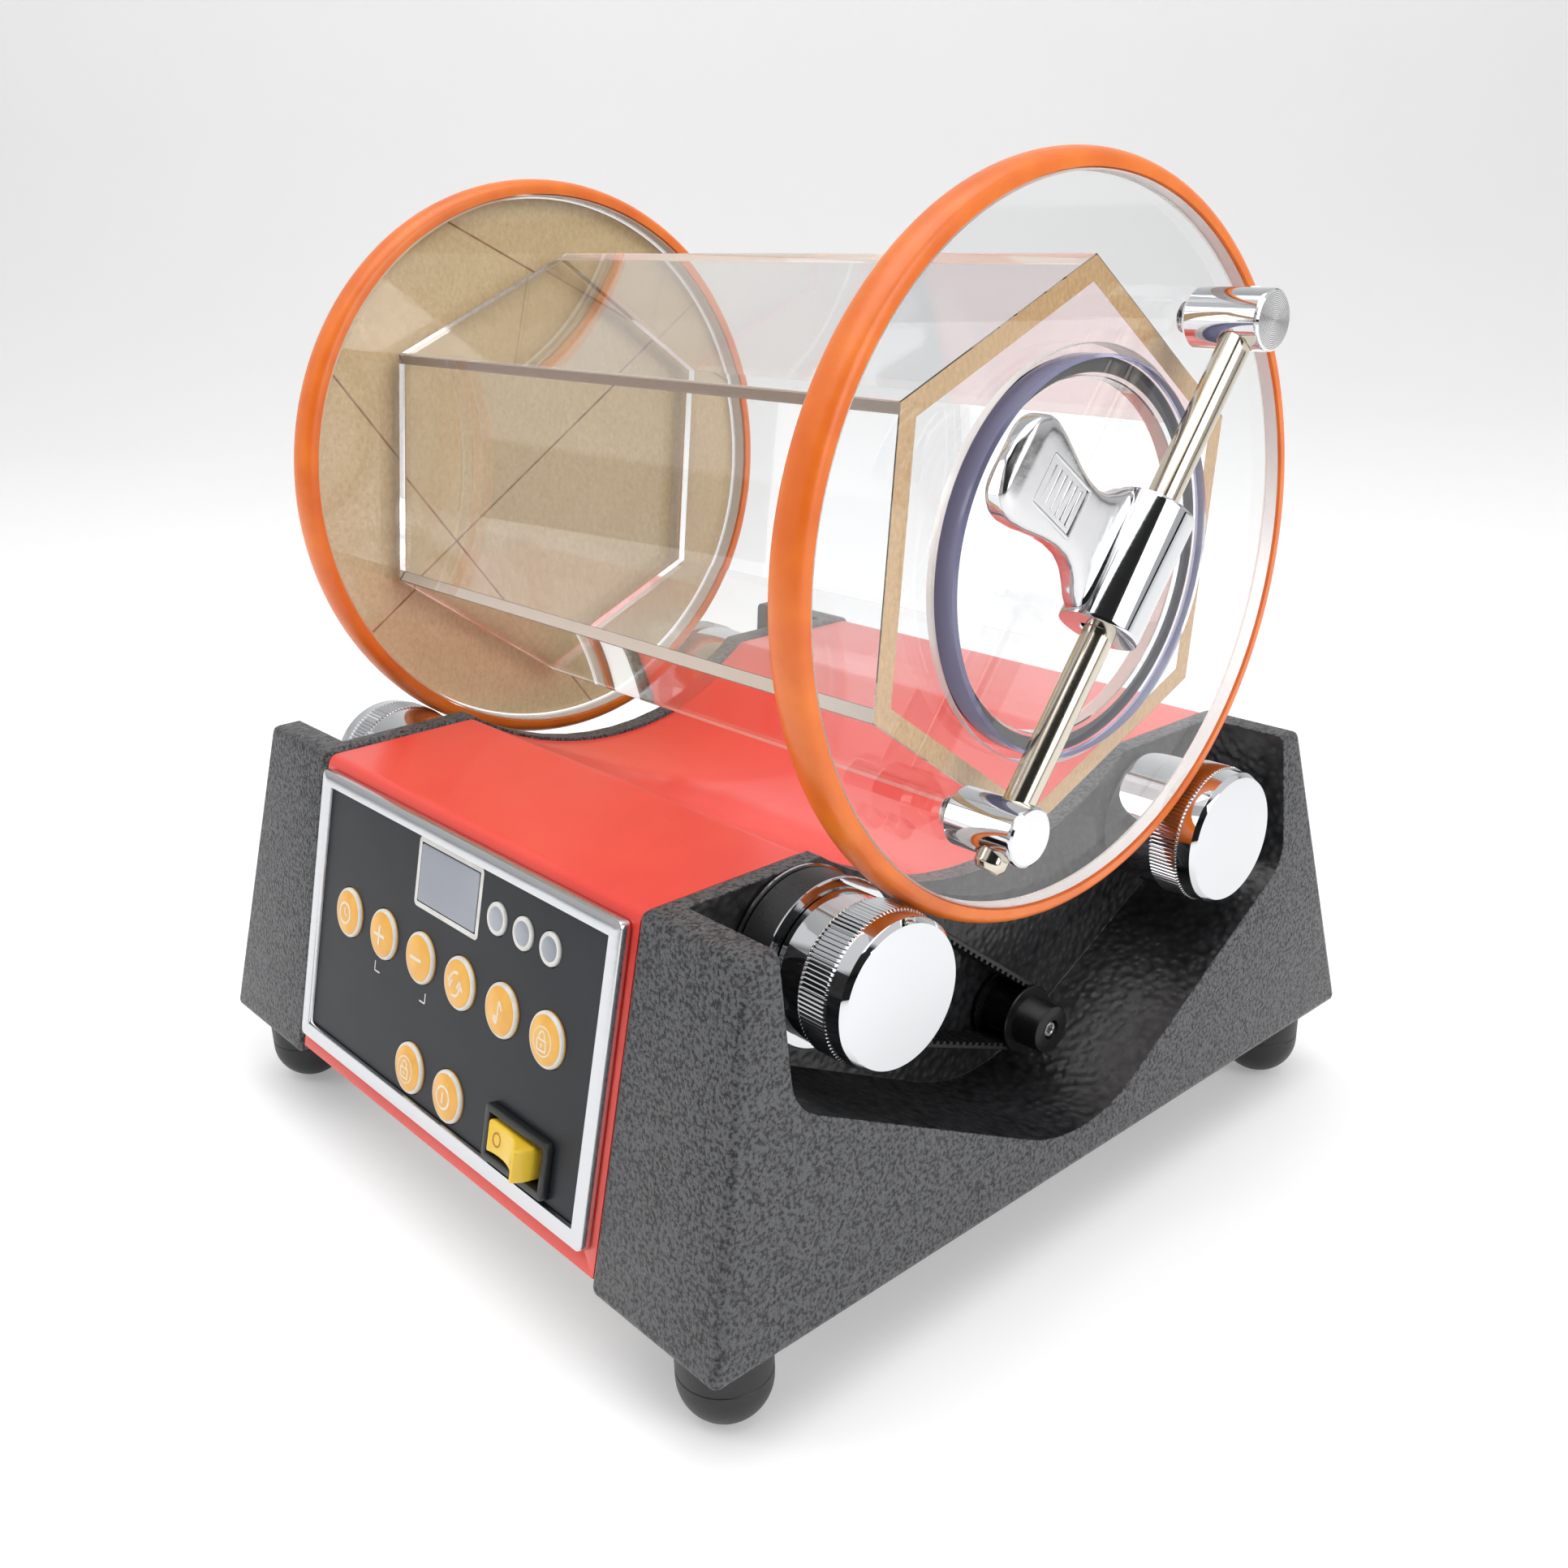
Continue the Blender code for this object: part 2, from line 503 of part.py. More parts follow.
def drive():
    """Motor on its bracket, the small toothed pulley, its screw and the timing belt."""
    outline("timing_belt", belt_outline(GAP + BELT_T), BELT_LOW, BELT_HIGH, ALONG_X, "rubber",
            holes=(belt_outline(GAP),))
    axis = axis_at(MOTOR_Y, MOTOR_Z)
    low, high = WALL_OUT + 0.8 * MM, BELT_HIGH + 1.3 * MM
    rim, hub, end, bore = 10.2 * MM, 7.2 * MM, 110 * MM, 2.8 * MM
    profile = [(bore, end), (hub - 0.5 * MM, end), (hub, end - 0.5 * MM), (hub, high),
               (rim, high), (rim, high - 0.9 * MM), (SMALL_R, high - 0.9 * MM),
               (SMALL_R, low + 0.9 * MM), (rim, low + 0.9 * MM), (rim, low), (bore, low)]
    pulley = smooth(turned("motor_pulley", profile, axis, "panel", 24))
    shaft = smooth(cylinder("motor_shaft", 2.5 * MM, 76.4 * MM, 104 * MM, axis, "steel", sides=16))
    head = [(2.3 * MM, end - 0.6 * MM), (2.3 * MM, 104.3 * MM), (0, 104.3 * MM),
            (0, end - 3 * MM), (1.1 * MM, end - 3 * MM), (1.1 * MM, end - 0.6 * MM)]
    screw = smooth(turned("pulley_screw", head, axis, "steel", 14))
    on_axis([pulley, shaft, screw], "motor_axis", (0, MOTOR_Y, MOTOR_Z))
    profile = [(0, 76 * MM), (6 * MM, 76 * MM), (6 * MM, 73 * MM), (18 * MM, 73 * MM),
               (18 * MM, 47 * MM), (17 * MM, 46 * MM), (17 * MM, 8 * MM), (0, 8 * MM)]
    smooth(turned("motor", profile, axis, "steel", 24))
    half = 24 * MM
    bracket = outline("motor_bracket", rect(MOTOR_Y - half, 29 * MM, MOTOR_Y + half, 79 * MM, 5 * MM),
                      73.4 * MM, 75.6 * MM, ALONG_X, "steel")
    boolean(bracket, cylinder("bracket_hole", 6.5 * MM, 0.07, 0.08, axis, group=CUTTERS))
    join(bracket, box("bracket_foot", (46 * MM, MOTOR_Y - half, 29 * MM),
                      (75 * MM, MOTOR_Y + half, 31 * MM), group=CUTTERS))
    box("base_plate", (-FRAME_IN + GAP, -131 * MM, 27 * MM), (FRAME_IN - GAP, 131 * MM, 28.6 * MM),
        "steel")


def clamp_frame(along=0.0):
    """Frame on the clamp rod: x to the lever's arm, y along the rod, z into the drum."""
    rod = Vector((0, cos(ROD_TILT), sin(ROD_TILT)))
    arm = Vector((0, -sin(ROD_TILT), cos(ROD_TILT)))
    return frame_of(arm, rod, Vector((ROD_X, 0, DRUM_Z)) + rod * along)


def hexagon(radius):
    return [(radius * cos(a), radius * sin(a))
            for a in (radians(30 + 60 * i) + DRUM_TURN for i in range(6))]


def drum():
    """Two tyred discs with the hexagonal barrel between them, the lid and its clamp."""
    axis = axis_at(0, DRUM_Z)
    outer, inner = DISC_X + DISC_T / 2, DISC_X - DISC_T / 2
    profile = [(DISC_R, outer), (DISC_R, inner), (LEDGE_R, inner), (LEDGE_R, LEDGE_X),
               (BORE_R, LEDGE_X), (BORE_R, outer)]
    right = turned("disc_right", profile, axis, "clear", 56)
    rod = clamp_frame().to_3x3() @ Vector((0, 1, 0))
    turning = [right]
    for name, sign in (("upper", 1), ("lower", -1)):
        spot = rod * POST_AT * sign
        at = axis_at(spot.y, DRUM_Z + spot.z)
        boolean(right, cylinder(f"stud_hole_{name}", STUD_R + GAP, 112.4 * MM, 0.13, at,
                                group=CUTTERS, sides=24))
        profile = [(0, POST_END), (POST_R - 0.8 * MM, POST_END), (POST_R, POST_END - 0.8 * MM),
                   (POST_R, outer + 2 * MM), (POST_R - 1.7 * MM, outer + GAP),
                   (STUD_R, outer + GAP), (STUD_R, 113 * MM), (0, 113 * MM)]
        post = turned(f"clamp_post_{name}", profile, at, "chrome", 24)
        boolean(post, cylinder(f"post_bore_{name}", ROD_R + GAP, -0.015, 0.015,
                               clamp_frame(POST_AT * sign) @ Matrix.Rotation(-pi / 2, 4, "X"),
                               group=CUTTERS, sides=20))
        turning.append(smooth(post))
    smooth(right)
    turning.append(smooth(cylinder("disc_left", DISC_R, -outer, -inner, axis, "clear", sides=56)))
    turning.append(smooth(cylinder("protective_paper", DISC_R - 1 * MM, -outer - 0.7 * MM,
                                   -outer - GAP, axis, "kraft", sides=56)))
    wall_in = BARREL_R - BARREL_WALL / cos(radians(30))
    turning.append(outline("barrel", hexagon(BARREL_R), -inner + GAP, inner - GAP, axis, "clear",
                           holes=(hexagon(wall_in),)))
    tread = DISC_R + GAP
    half = TYRE_W / 2
    for name, x in (("tyre_right", DISC_X), ("tyre_left", -DISC_X)):
        profile = [(tread, x + half)] + [(r, x + z) for r, z in (
            (TYRE_R - 2.2 * MM, half), (TYRE_R - 0.7 * MM, half - 1.3 * MM),
            (TYRE_R, half - 3.6 * MM), (TYRE_R, -half + 3.6 * MM),
            (TYRE_R - 0.7 * MM, -half + 1.3 * MM), (TYRE_R - 2.2 * MM, -half), (tread, -half))]
        turning.append(smooth(turned(name, profile, axis, "orange", 56)))
    profile = [(0, LID_OUT), (LID_R - 0.5 * MM, LID_OUT), (LID_R, LID_OUT - 0.5 * MM),
               (LID_R, LID_X), (0, LID_X)]
    turning.append(smooth(turned("lid", profile, axis, "clear", 40)))
    profile = [(SEAL_OUT, LID_X - GAP), (SEAL_OUT, LEDGE_X + GAP), (SEAL_IN, LEDGE_X + GAP),
               (SEAL_IN, LID_X - GAP)]
    turning.append(smooth(turned("lid_seal", profile, axis, "rubber", 40)))
    on_axis(turning, "drum_axis", (0, 0, DRUM_Z))


def clamp():
    """The rod through both posts, and the cam lever that presses the lid."""
    frame = clamp_frame()
    upright = frame @ Matrix.Rotation(-pi / 2, 4, "X")
    low, high = -POST_AT - POST_R - 3.2 * MM, POST_AT + POST_R - 0.4 * MM
    profile = [(0, high), (ROD_R - 0.4 * MM, high), (ROD_R, high - 0.4 * MM),
               (ROD_R, low + 1.2 * MM), (ROD_R - 1.2 * MM, low), (0, low)]
    rod = smooth(turned("clamp_rod", profile, upright, "steel", 20))
    on_axis([rod], "rod_axis", (ROD_X, 0, DRUM_Z))
    off = Matrix.Translation((0, 0, HUB_OFF))
    lever = cylinder("clamp_lever", HUB_R, -HUB_LONG / 2, HUB_LONG / 2,
                     frame @ off @ Matrix.Rotation(-pi / 2, 4, "X"), "chrome", sides=28)
    half = HUB_LONG / 2
    waist, waist_x, wide, tip_x = 8.6 * MM, 25 * MM, 13 * MM, 54 * MM
    flare = half - waist
    edge = [(waist_x - 10 * MM + 10 * MM * sin(a), half - flare * sin(a) ** 0.8 if a else half)
            for a in (radians(15 * i) for i in range(7))]
    blade = [(0, half), *edge, (waist_x + 6 * MM, waist + 0.6 * MM), (44 * MM, wide - 0.8 * MM)]
    tip = arc(tip_x - 8 * MM, wide - 8 * MM, 8 * MM, 80, 0, 6)
    side = blade + tip
    shape = side + [(x, -y) for x, y in reversed(side)]
    arm = outline("lever_arm", shape, -1 * MM, 6.6 * MM, frame, group=CUTTERS)
    join(lever, arm)
    boolean(lever, cylinder("lever_bore", ROD_R + GAP, -0.03, 0.03, upright, group=CUTTERS,
                            sides=20))
    smooth(lever)
    on_axis([lever], "lever_axis", (ROD_X, 0, DRUM_Z))


def main():
    for side in (1, -1):
        end_frame(side)
        for end, y in (("front", -118 * MM), ("rear", 118 * MM)):
            foot(f"foot_{end}_{'right' if side > 0 else 'left'}", side * 113 * MM, y)
    body_cover()
    front_panel()
    rear_fittings()
    roller_set("front")
    roller_set("rear")
    drive()
    drum()
    clamp()
    for obj in PARTS.objects:
        if obj.parent is None:
            obj.location -= Vector(MIDDLE)
    for obj in CUTTERS.objects:
        obj.location -= Vector(MIDDLE)


main()
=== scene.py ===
# %% [markdown]
# # A rotary rock tumbler, piece by piece
#
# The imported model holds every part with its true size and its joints. This script adds what
# the eye sees: rounded castings with hammered paint, polished rollers with a straight knurl,
# a clear barrel between two discs, and a keypad. A piece is drawn from a formula of one or
# two parameters wherever it can be, so that each curve stays smooth however close one looks.
#
# Shapes are drawn in millimetres round the drum's own middle and then moved to where the
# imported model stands, so that all sizes below can be read as they would be on a drawing.

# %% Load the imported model
from math import atan2, cos, hypot, pi, radians, sin

import bmesh
import bpy
import numpy as np
from mathutils import Matrix, Vector


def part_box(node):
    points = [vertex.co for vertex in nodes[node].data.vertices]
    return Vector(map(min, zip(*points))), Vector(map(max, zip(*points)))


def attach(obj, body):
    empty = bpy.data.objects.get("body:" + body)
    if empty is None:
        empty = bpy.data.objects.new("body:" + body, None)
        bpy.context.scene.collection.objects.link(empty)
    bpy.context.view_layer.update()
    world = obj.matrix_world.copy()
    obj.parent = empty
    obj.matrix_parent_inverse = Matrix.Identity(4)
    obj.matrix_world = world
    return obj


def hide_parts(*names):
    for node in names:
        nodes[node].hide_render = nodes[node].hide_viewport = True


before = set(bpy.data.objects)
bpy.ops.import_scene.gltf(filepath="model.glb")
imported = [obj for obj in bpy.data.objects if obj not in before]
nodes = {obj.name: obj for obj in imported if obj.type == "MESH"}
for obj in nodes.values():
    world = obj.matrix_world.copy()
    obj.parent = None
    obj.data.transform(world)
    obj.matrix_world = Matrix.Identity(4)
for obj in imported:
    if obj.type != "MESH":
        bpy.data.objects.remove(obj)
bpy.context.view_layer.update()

# %% [markdown]
# ## Where things are
#
# `SHIFT` is the drum's middle line on the table. `box_mm` gives a part's lowest and highest
# corner in millimetres from there.

# %% The drawing frame
MM = 0.001
SHIFT = np.array([(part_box("end_frame_left")[0].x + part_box("end_frame_right")[1].x) / 2,
                  (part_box("disc_right")[0].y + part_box("disc_right")[1].y) / 2, 0.0])


def box_mm(node):
    """A part's two corners: (corner - SHIFT) in millimetres."""
    return [(np.array(corner) - SHIFT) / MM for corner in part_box(node)]


DISC_LOW, DISC_HIGH = box_mm("disc_right")
DISC_IN, DISC_OUT = DISC_LOW[0], DISC_HIGH[0]
DISC_R = (DISC_HIGH[1] - DISC_LOW[1]) / 2
DRUM_Z = (DISC_LOW[2] + DISC_HIGH[2]) / 2
TYRE_R = (box_mm("tyre_right")[1][1] - box_mm("tyre_right")[0][1]) / 2
ROLL_LOW, ROLL_HIGH = box_mm("roller_front_right")
ROLL_Y, ROLL_Z = (ROLL_LOW[1] + ROLL_HIGH[1]) / 2, (ROLL_LOW[2] + ROLL_HIGH[2]) / 2
print("drum middle at", round(DRUM_Z, 1), "mm, tyre radius", round(TYRE_R, 1), "mm")


# %% [markdown]
# ## Tools for drawing
#
# A surface is a grid of points. `surface` joins the grid with four-sided faces, closes it
# round on itself where it should, and caps its ends. `turned` spins a profile, `swept`
# carries a cross-section between two rounded rectangles, and `prism` draws an outline out
# to a thickness with rounded edges.

# %% Surfaces from grids of points
def finish_mesh(name, points, faces, sharp=35):
    """A mesh object from points in millimetres; edges over `sharp` degrees stay crisp."""
    mesh = bpy.data.meshes.new(name)
    mesh.from_pydata((np.asarray(points, float) * MM + SHIFT).tolist(), [], faces)
    work = bmesh.new()
    work.from_mesh(mesh)
    bmesh.ops.remove_doubles(work, verts=work.verts, dist=1e-6)
    bmesh.ops.recalc_face_normals(work, faces=work.faces)
    work.to_mesh(mesh)
    work.free()
    mesh.shade_smooth()
    mesh.set_sharp_from_angle(angle=radians(sharp))
    obj = bpy.data.objects.new(name, mesh)
    bpy.context.scene.collection.objects.link(obj)
    return obj


def grid_faces(rows, columns, start=0, wrap_rows=False, wrap_columns=False):
    """Four-sided faces of a rows x columns grid, numbered row by row."""
    i, j = np.meshgrid(np.arange(rows - (not wrap_rows)),
                       np.arange(columns - (not wrap_columns)), indexing="ij")
    below, right = (i + 1) % rows, (j + 1) % columns
    corners = (i * columns + j, below * columns + j, below * columns + right, i * columns + right)
    return (np.stack([c.ravel() for c in corners], axis=1) + start).tolist()


def surface(name, grid, wrap_rows=False, wrap_columns=True, caps=True, sharp=35):
    """A grid of points as a skin, with flat caps on its first and last rows."""
    rows, columns = grid.shape[:2]
    faces = grid_faces(rows, columns, 0, wrap_rows, wrap_columns)
    if caps and not wrap_rows:
        faces.append(list(range(columns))[::-1])
        faces.append([(rows - 1) * columns + k for k in range(columns)])
    return finish_mesh(name, grid.reshape(-1, 3), faces, sharp)


def rounded(points, radius, count=4, closed=False):
    """A polyline whose corners are eased: each corner p becomes the curve
    (1-t)^2 a + 2t(1-t) p + t^2 b between points a and b a radius away from it."""
    points = [np.array(p, float) for p in points]
    radii = radius if isinstance(radius, (list, tuple)) else [radius] * len(points)
    out = []
    for k, p in enumerate(points):
        if radii[k] == 0 or (not closed and k in (0, len(points) - 1)):
            out.append(p)
            continue
        before, after = points[k - 1] - p, points[(k + 1) % len(points)] - p
        a = p + before * min(radii[k] / np.linalg.norm(before), 0.48)
        b = p + after * min(radii[k] / np.linalg.norm(after), 0.48)
        for t in np.linspace(0, 1, count + 1):
            out.append((1 - t) ** 2 * a + 2 * t * (1 - t) * p + t ** 2 * b)
    return np.array(out)


def frame_of(x_axis, y_axis, origin):
    """A 3 x 4 frame: its columns are the x, y and z axes and the origin."""
    x_axis, y_axis = np.array(x_axis, float), np.array(y_axis, float)
    return np.column_stack([x_axis, y_axis, np.cross(x_axis, y_axis), np.array(origin, float)])


def carry(points, at):
    """Local points to world points: x X + y Y + z Z + origin."""
    return np.asarray(points, float) @ at[:, :3].T + at[:, 3]


def along_x(y, z, x=0.0):
    """A frame whose own z axis runs along the machine's X, through (y, z)."""
    return frame_of((0, 1, 0), (0, 0, 1), (x, y, z))


def turned(name, profile, at, steps=96, ripple=None, sharp=35, closed=False):
    """A profile of (radius, height) spun round the frame's z axis:
    point = (r cos a, r sin a, h). `ripple(r, h, a)` changes the radius."""
    profile = np.asarray(profile, float)
    angle = np.linspace(0, 2 * pi, steps, endpoint=False)
    r, a = np.meshgrid(profile[:, 0], angle, indexing="ij")
    h = np.repeat(profile[:, 1:2], steps, axis=1)
    if ripple:
        r = ripple(r, h, a)
    grid = carry(np.stack([r * np.cos(a), r * np.sin(a), h], axis=-1), at)
    return surface(name, grid, wrap_rows=closed, caps=False, sharp=sharp)


def ringed(radius, height, pitch=0.45, depth=0.02):
    """A turned face as a profile: height + depth sin(2 pi r / pitch), from rim to middle."""
    r = np.linspace(radius, 0, max(6, int(radius / pitch * 5)))
    return [(k, height + depth * sin(2 * pi * k / pitch)) for k in r]


def round_rect(low, high, radius, count=6):
    """A rectangle with round corners, always drawn with the same number of points."""
    (x0, y0), (x1, y1) = low, high
    radius = max(radius, 1e-4)
    corners = ((x1 - radius, y0 + radius, -90), (x1 - radius, y1 - radius, 0),
               (x0 + radius, y1 - radius, 90), (x0 + radius, y0 + radius, 180))
    angles = np.radians(np.linspace(0, 90, count))
    return np.array([(cx + radius * cos(radians(start) + a), cy + radius * sin(radians(start) + a))
                     for cx, cy, start in corners for a in angles])


def swept(name, low, high, radius, section, at, sharp=35):
    """A frame-shaped ring: each (inset, height) of the section gives one rounded rectangle."""
    rings = []
    for inset, height in section:
        ring = round_rect((low[0] + inset, low[1] + inset), (high[0] - inset, high[1] - inset),
                          radius - inset)
        rings.append(np.column_stack([ring, np.full(len(ring), height)]))
    return surface(name, carry(np.array(rings), at), wrap_rows=True, caps=False, sharp=sharp)


def slab(name, low, high, radius, base, top, at, edge=0.5, sharp=35):
    """A plate with round corners and a rounded top edge."""
    turn = [(edge * (1 - cos(t)), top - edge * (1 - sin(t))) for t in np.linspace(0, pi / 2, 5)]
    rings = [(0.0, base)] + turn
    grid = [np.column_stack([round_rect((low[0] + i, low[1] + i), (high[0] - i, high[1] - i),
                                        radius - i), np.full(24, h)]) for i, h in rings]
    return surface(name, carry(np.array(grid), at), sharp=sharp)


def prism(name, outline, low, high, at, edge=0.6, sharp=35):
    """An outline drawn out from z = low to high; its two rims are rounded by moving each
    point in along the outline's own normal by edge (1 - cos t)."""
    outline = np.asarray(outline, float)
    tangent = np.roll(outline, -1, axis=0) - np.roll(outline, 1, axis=0)
    normal = np.column_stack([-tangent[:, 1], tangent[:, 0]])
    normal /= np.linalg.norm(normal, axis=1, keepdims=True)
    area = np.sum(outline[:, 0] * np.roll(outline[:, 1], -1)
                  - np.roll(outline[:, 0], -1) * outline[:, 1])
    normal *= np.sign(area)
    steps = [(edge * (1 - sin(t)), edge * (1 - cos(t))) for t in np.linspace(0, pi / 2, 5)]
    rings = [(inset, low + rise) for inset, rise in steps]
    rings += [(inset, high - rise) for inset, rise in reversed(steps)]
    grid = [np.column_stack([outline + normal * inset, np.full(len(outline), h)])
            for inset, h in rings]
    return surface(name, carry(np.array(grid), at), sharp=sharp)


def carved(obj, cutter):
    """Takes the cutter's volume out of a piece and removes the cutter."""
    cut = obj.modifiers.new("cut", "BOOLEAN")
    cut.object, cut.solver = cutter, "EXACT"
    view = bpy.context.evaluated_depsgraph_get()
    obj.data = bpy.data.meshes.new_from_object(obj.evaluated_get(view))
    obj.modifiers.clear()
    bpy.data.objects.remove(cutter)


def joined(name, *objects):
    """Several objects as one, each keeping its own material slots."""
    with bpy.context.temp_override(active_object=objects[0], selected_editable_objects=objects):
        bpy.ops.object.join()
    objects[0].name = objects[0].data.name = name
    return objects[0]


# %% [markdown]
# ## Tools for finishes
#
# A `Finish` wraps one node material. Its patterns are read in the piece's own coordinates,
# in metres, so a pattern of scale 900 has about nine hundred spots to the metre.

# %% Node materials
class Finish:
    """One Principled material; methods add a colour pattern, a bump or a gloss pattern."""

    def __init__(self, name, colour, roughness, metallic=0.0, **values):
        self.material = bpy.data.materials.new(name)
        self.material.use_nodes = True
        self.tree = self.material.node_tree
        self.main = self.tree.nodes["Principled BSDF"]
        self.main.inputs["Base Color"].default_value = (*colour, 1)
        self.main.inputs["Roughness"].default_value = roughness
        self.main.inputs["Metallic"].default_value = metallic
        for key, value in values.items():
            self.main.inputs[key.replace("_", " ")].default_value = value
        self.place = self.add("ShaderNodeTexCoord").outputs["Object"]

    def add(self, kind, links=None, **settings):
        """A new node; links give its inputs by name or number, as sockets or plain values."""
        node = self.tree.nodes.new(kind)
        for key, value in settings.items():
            setattr(node, key, value)
        for key, value in (links or {}).items():
            if isinstance(value, bpy.types.NodeSocket):
                self.tree.links.new(value, node.inputs[key])
            else:
                node.inputs[key].default_value = value
        return node

    def noise(self, scale, detail=2.0, stretch=(1, 1, 1), rough=0.5):
        """Soft random spots; stretch squeezes them along an axis."""
        spread = self.add("ShaderNodeVectorMath", {0: self.place, 1: stretch},
                          operation="MULTIPLY").outputs[0]
        return self.add("ShaderNodeTexNoise", {"Vector": spread, "Scale": scale, "Detail": detail,
                                               "Roughness": rough}).outputs["Fac"]

    def cells(self, scale, feature="F1"):
        """Distance to the nearest of a scatter of points: pits and pebbles."""
        return self.add("ShaderNodeTexVoronoi", {"Vector": self.place, "Scale": scale},
                        feature=feature).outputs["Distance"]

    def math(self, operation, a, b=0.0, c=0.0):
        """One sum on patterns or plain numbers."""
        return self.add("ShaderNodeMath", {0: a, 1: b, 2: c}, operation=operation).outputs[0]

    def ramp(self, factor, *stops):
        """A colour that follows a pattern; stops are (position, colour)."""
        node = self.add("ShaderNodeValToRGB", {"Fac": factor})
        while len(node.color_ramp.elements) < len(stops):
            node.color_ramp.elements.new(1.0)
        for element, (position, colour) in zip(node.color_ramp.elements, stops):
            element.position = position
            element.color = (*colour, 1)
        return node.outputs["Color"]

    def blend(self, factor, first, second):
        """One colour over another, by a pattern."""
        node = self.add("ShaderNodeMix", data_type="RGBA")
        for socket, value in ((node.inputs[0], factor), (node.inputs[6], first),
                              (node.inputs[7], second)):
            if isinstance(value, bpy.types.NodeSocket):
                self.tree.links.new(value, socket)
            else:
                socket.default_value = value if isinstance(value, float) else (*value, 1)
        return node.outputs[2]

    def colour(self, socket):
        """The base colour follows a pattern."""
        self.tree.links.new(socket, self.main.inputs["Base Color"])
        return self

    def tinted(self, scale, detail, low, high):
        """A colour that drifts softly between two shades."""
        return self.colour(self.ramp(self.noise(scale, detail), (0.3, low), (0.7, high)))

    def gloss(self, factor, low, high):
        """Roughness between low and high, following a pattern."""
        spread = self.add("ShaderNodeMapRange", {"Value": factor, "To Min": low, "To Max": high})
        self.tree.links.new(spread.outputs[0], self.main.inputs["Roughness"])
        return self

    def bump(self, height, distance, strength=1.0):
        """A relief of the given depth in metres."""
        node = self.add("ShaderNodeBump", {"Height": height, "Distance": distance,
                                           "Strength": strength})
        self.tree.links.new(node.outputs[0], self.main.inputs["Normal"])
        return self

    def clear_for_lamps(self):
        """Lets lamps shine through, as thin clear plastic does, instead of a solid shadow."""
        out = self.tree.nodes["Material Output"]
        ray = self.add("ShaderNodeLightPath").outputs["Is Shadow Ray"]
        tint = self.main.inputs["Base Color"].default_value
        through = self.add("ShaderNodeBsdfTransparent", {"Color": tint})
        mix = self.add("ShaderNodeMixShader", {0: ray, 1: self.main.outputs[0],
                                               2: through.outputs[0]})
        self.tree.links.new(mix.outputs[0], out.inputs["Surface"])
        return self


def wear(obj, *finishes):
    """Gives a piece its finishes, one per slot."""
    obj.data.materials.clear()
    for one in finishes:
        obj.data.materials.append(one.material)
    return obj


def settle(obj, body, slot, *replaced):
    """Hangs a finished piece on its body, in place of the parts that it stands for."""
    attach(obj, body)
    if replaced:
        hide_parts(*replaced)
    print(f"{obj.name}: {len(obj.data.polygons)} faces on {body}")
    return obj


# %% [markdown]
# ## The two cast end frames
#
# They carry everything. The metal is painted with hammered enamel: pale flecks divided by a
# dark net about a millimetre apart, which is a noise pattern used both for the colour and
# for the relief. Inside the channel the colour is darker, as painted shade for the recess,
# and the paint is smoother, like leather.

# %% End frames
HAMMER = Finish("hammered_enamel", (0.05, 0.05, 0.052), 0.36)
fleck = HAMMER.noise(900, 2.5, rough=0.6)
HAMMER.colour(HAMMER.ramp(fleck, (0.38, (0.006, 0.006, 0.007)), (0.46, (0.045, 0.046, 0.049)),
                          (0.56, (0.100, 0.102, 0.108))))
HAMMER.bump(fleck, 0.0010, 0.9).gloss(HAMMER.noise(300, 1), 0.26, 0.46)

# The channel's darker colour is painted shade for the recess; its grain and gloss are the paint's
# own.
SHADED_CHANNEL = Finish("channel_painted_shade", (0.012, 0.012, 0.013), 0.33)
grain = SHADED_CHANNEL.cells(420, "SMOOTH_F1")
SHADED_CHANNEL.colour(SHADED_CHANNEL.ramp(grain, (0.15, (0.028, 0.029, 0.031)), (0.75, (0.006, 0.006, 0.007))))
SHADED_CHANNEL.bump(grain, 0.0006, 0.7).gloss(SHADED_CHANNEL.noise(200, 1), 0.24, 0.42)


def softened(name, node, width, angle=50, segments=3):
    """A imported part's own shape with its sharp edges rounded to `width` millimetres."""
    work = bmesh.new()
    work.from_mesh(nodes[node].data)
    bmesh.ops.remove_doubles(work, verts=work.verts, dist=1e-5)
    bmesh.ops.dissolve_limit(work, angle_limit=radians(1.5), verts=work.verts, edges=work.edges)
    mesh = bpy.data.meshes.new(name)
    work.to_mesh(mesh)
    work.free()
    obj = bpy.data.objects.new(name, mesh)
    bpy.context.scene.collection.objects.link(obj)
    edges = obj.modifiers.new("edges", "BEVEL")
    edges.width, edges.segments = width * MM, segments
    edges.limit_method, edges.angle_limit = "ANGLE", radians(angle)
    view = bpy.context.evaluated_depsgraph_get()
    obj.data = bpy.data.meshes.new_from_object(obj.evaluated_get(view))
    obj.modifiers.clear()
    obj.data.shade_smooth()
    obj.data.set_sharp_from_angle(angle=radians(32))
    return obj


def face_middles(obj):
    """Every face's middle, in drawing millimetres, as one array."""
    middles = np.empty(len(obj.data.polygons) * 3)
    obj.data.polygons.foreach_get("center", middles)
    return (middles.reshape(-1, 3) - SHIFT) / MM


def paint_faces(obj, chosen):
    """Faces where `chosen` is true take the second slot."""
    obj.data.polygons.foreach_set("material_index", chosen.astype(np.int32))


for side in ("left", "right"):
    casting = softened(f"casting_{side}", f"end_frame_{side}", 1.3)
    wear(casting, HAMMER, SHADED_CHANNEL)
    x, y, z = np.abs(face_middles(casting).T)
    outer = 130.5 - (z - 26) * 10 / 98
    # Faces inside the channel take the second, darker slot: painted shade in the recess.
    paint_faces(casting, (x > 87.5) & (x < outer - 0.6) & (y < 103.4) & (z > 32) & (z < 123.4))
    settle(casting, "stand", "hammered_casting", f"end_frame_{side}")

# %% [markdown]
# ## Rubber feet
#
# Half a ball on a short neck, with a faint moulding line and a flat where it stands.

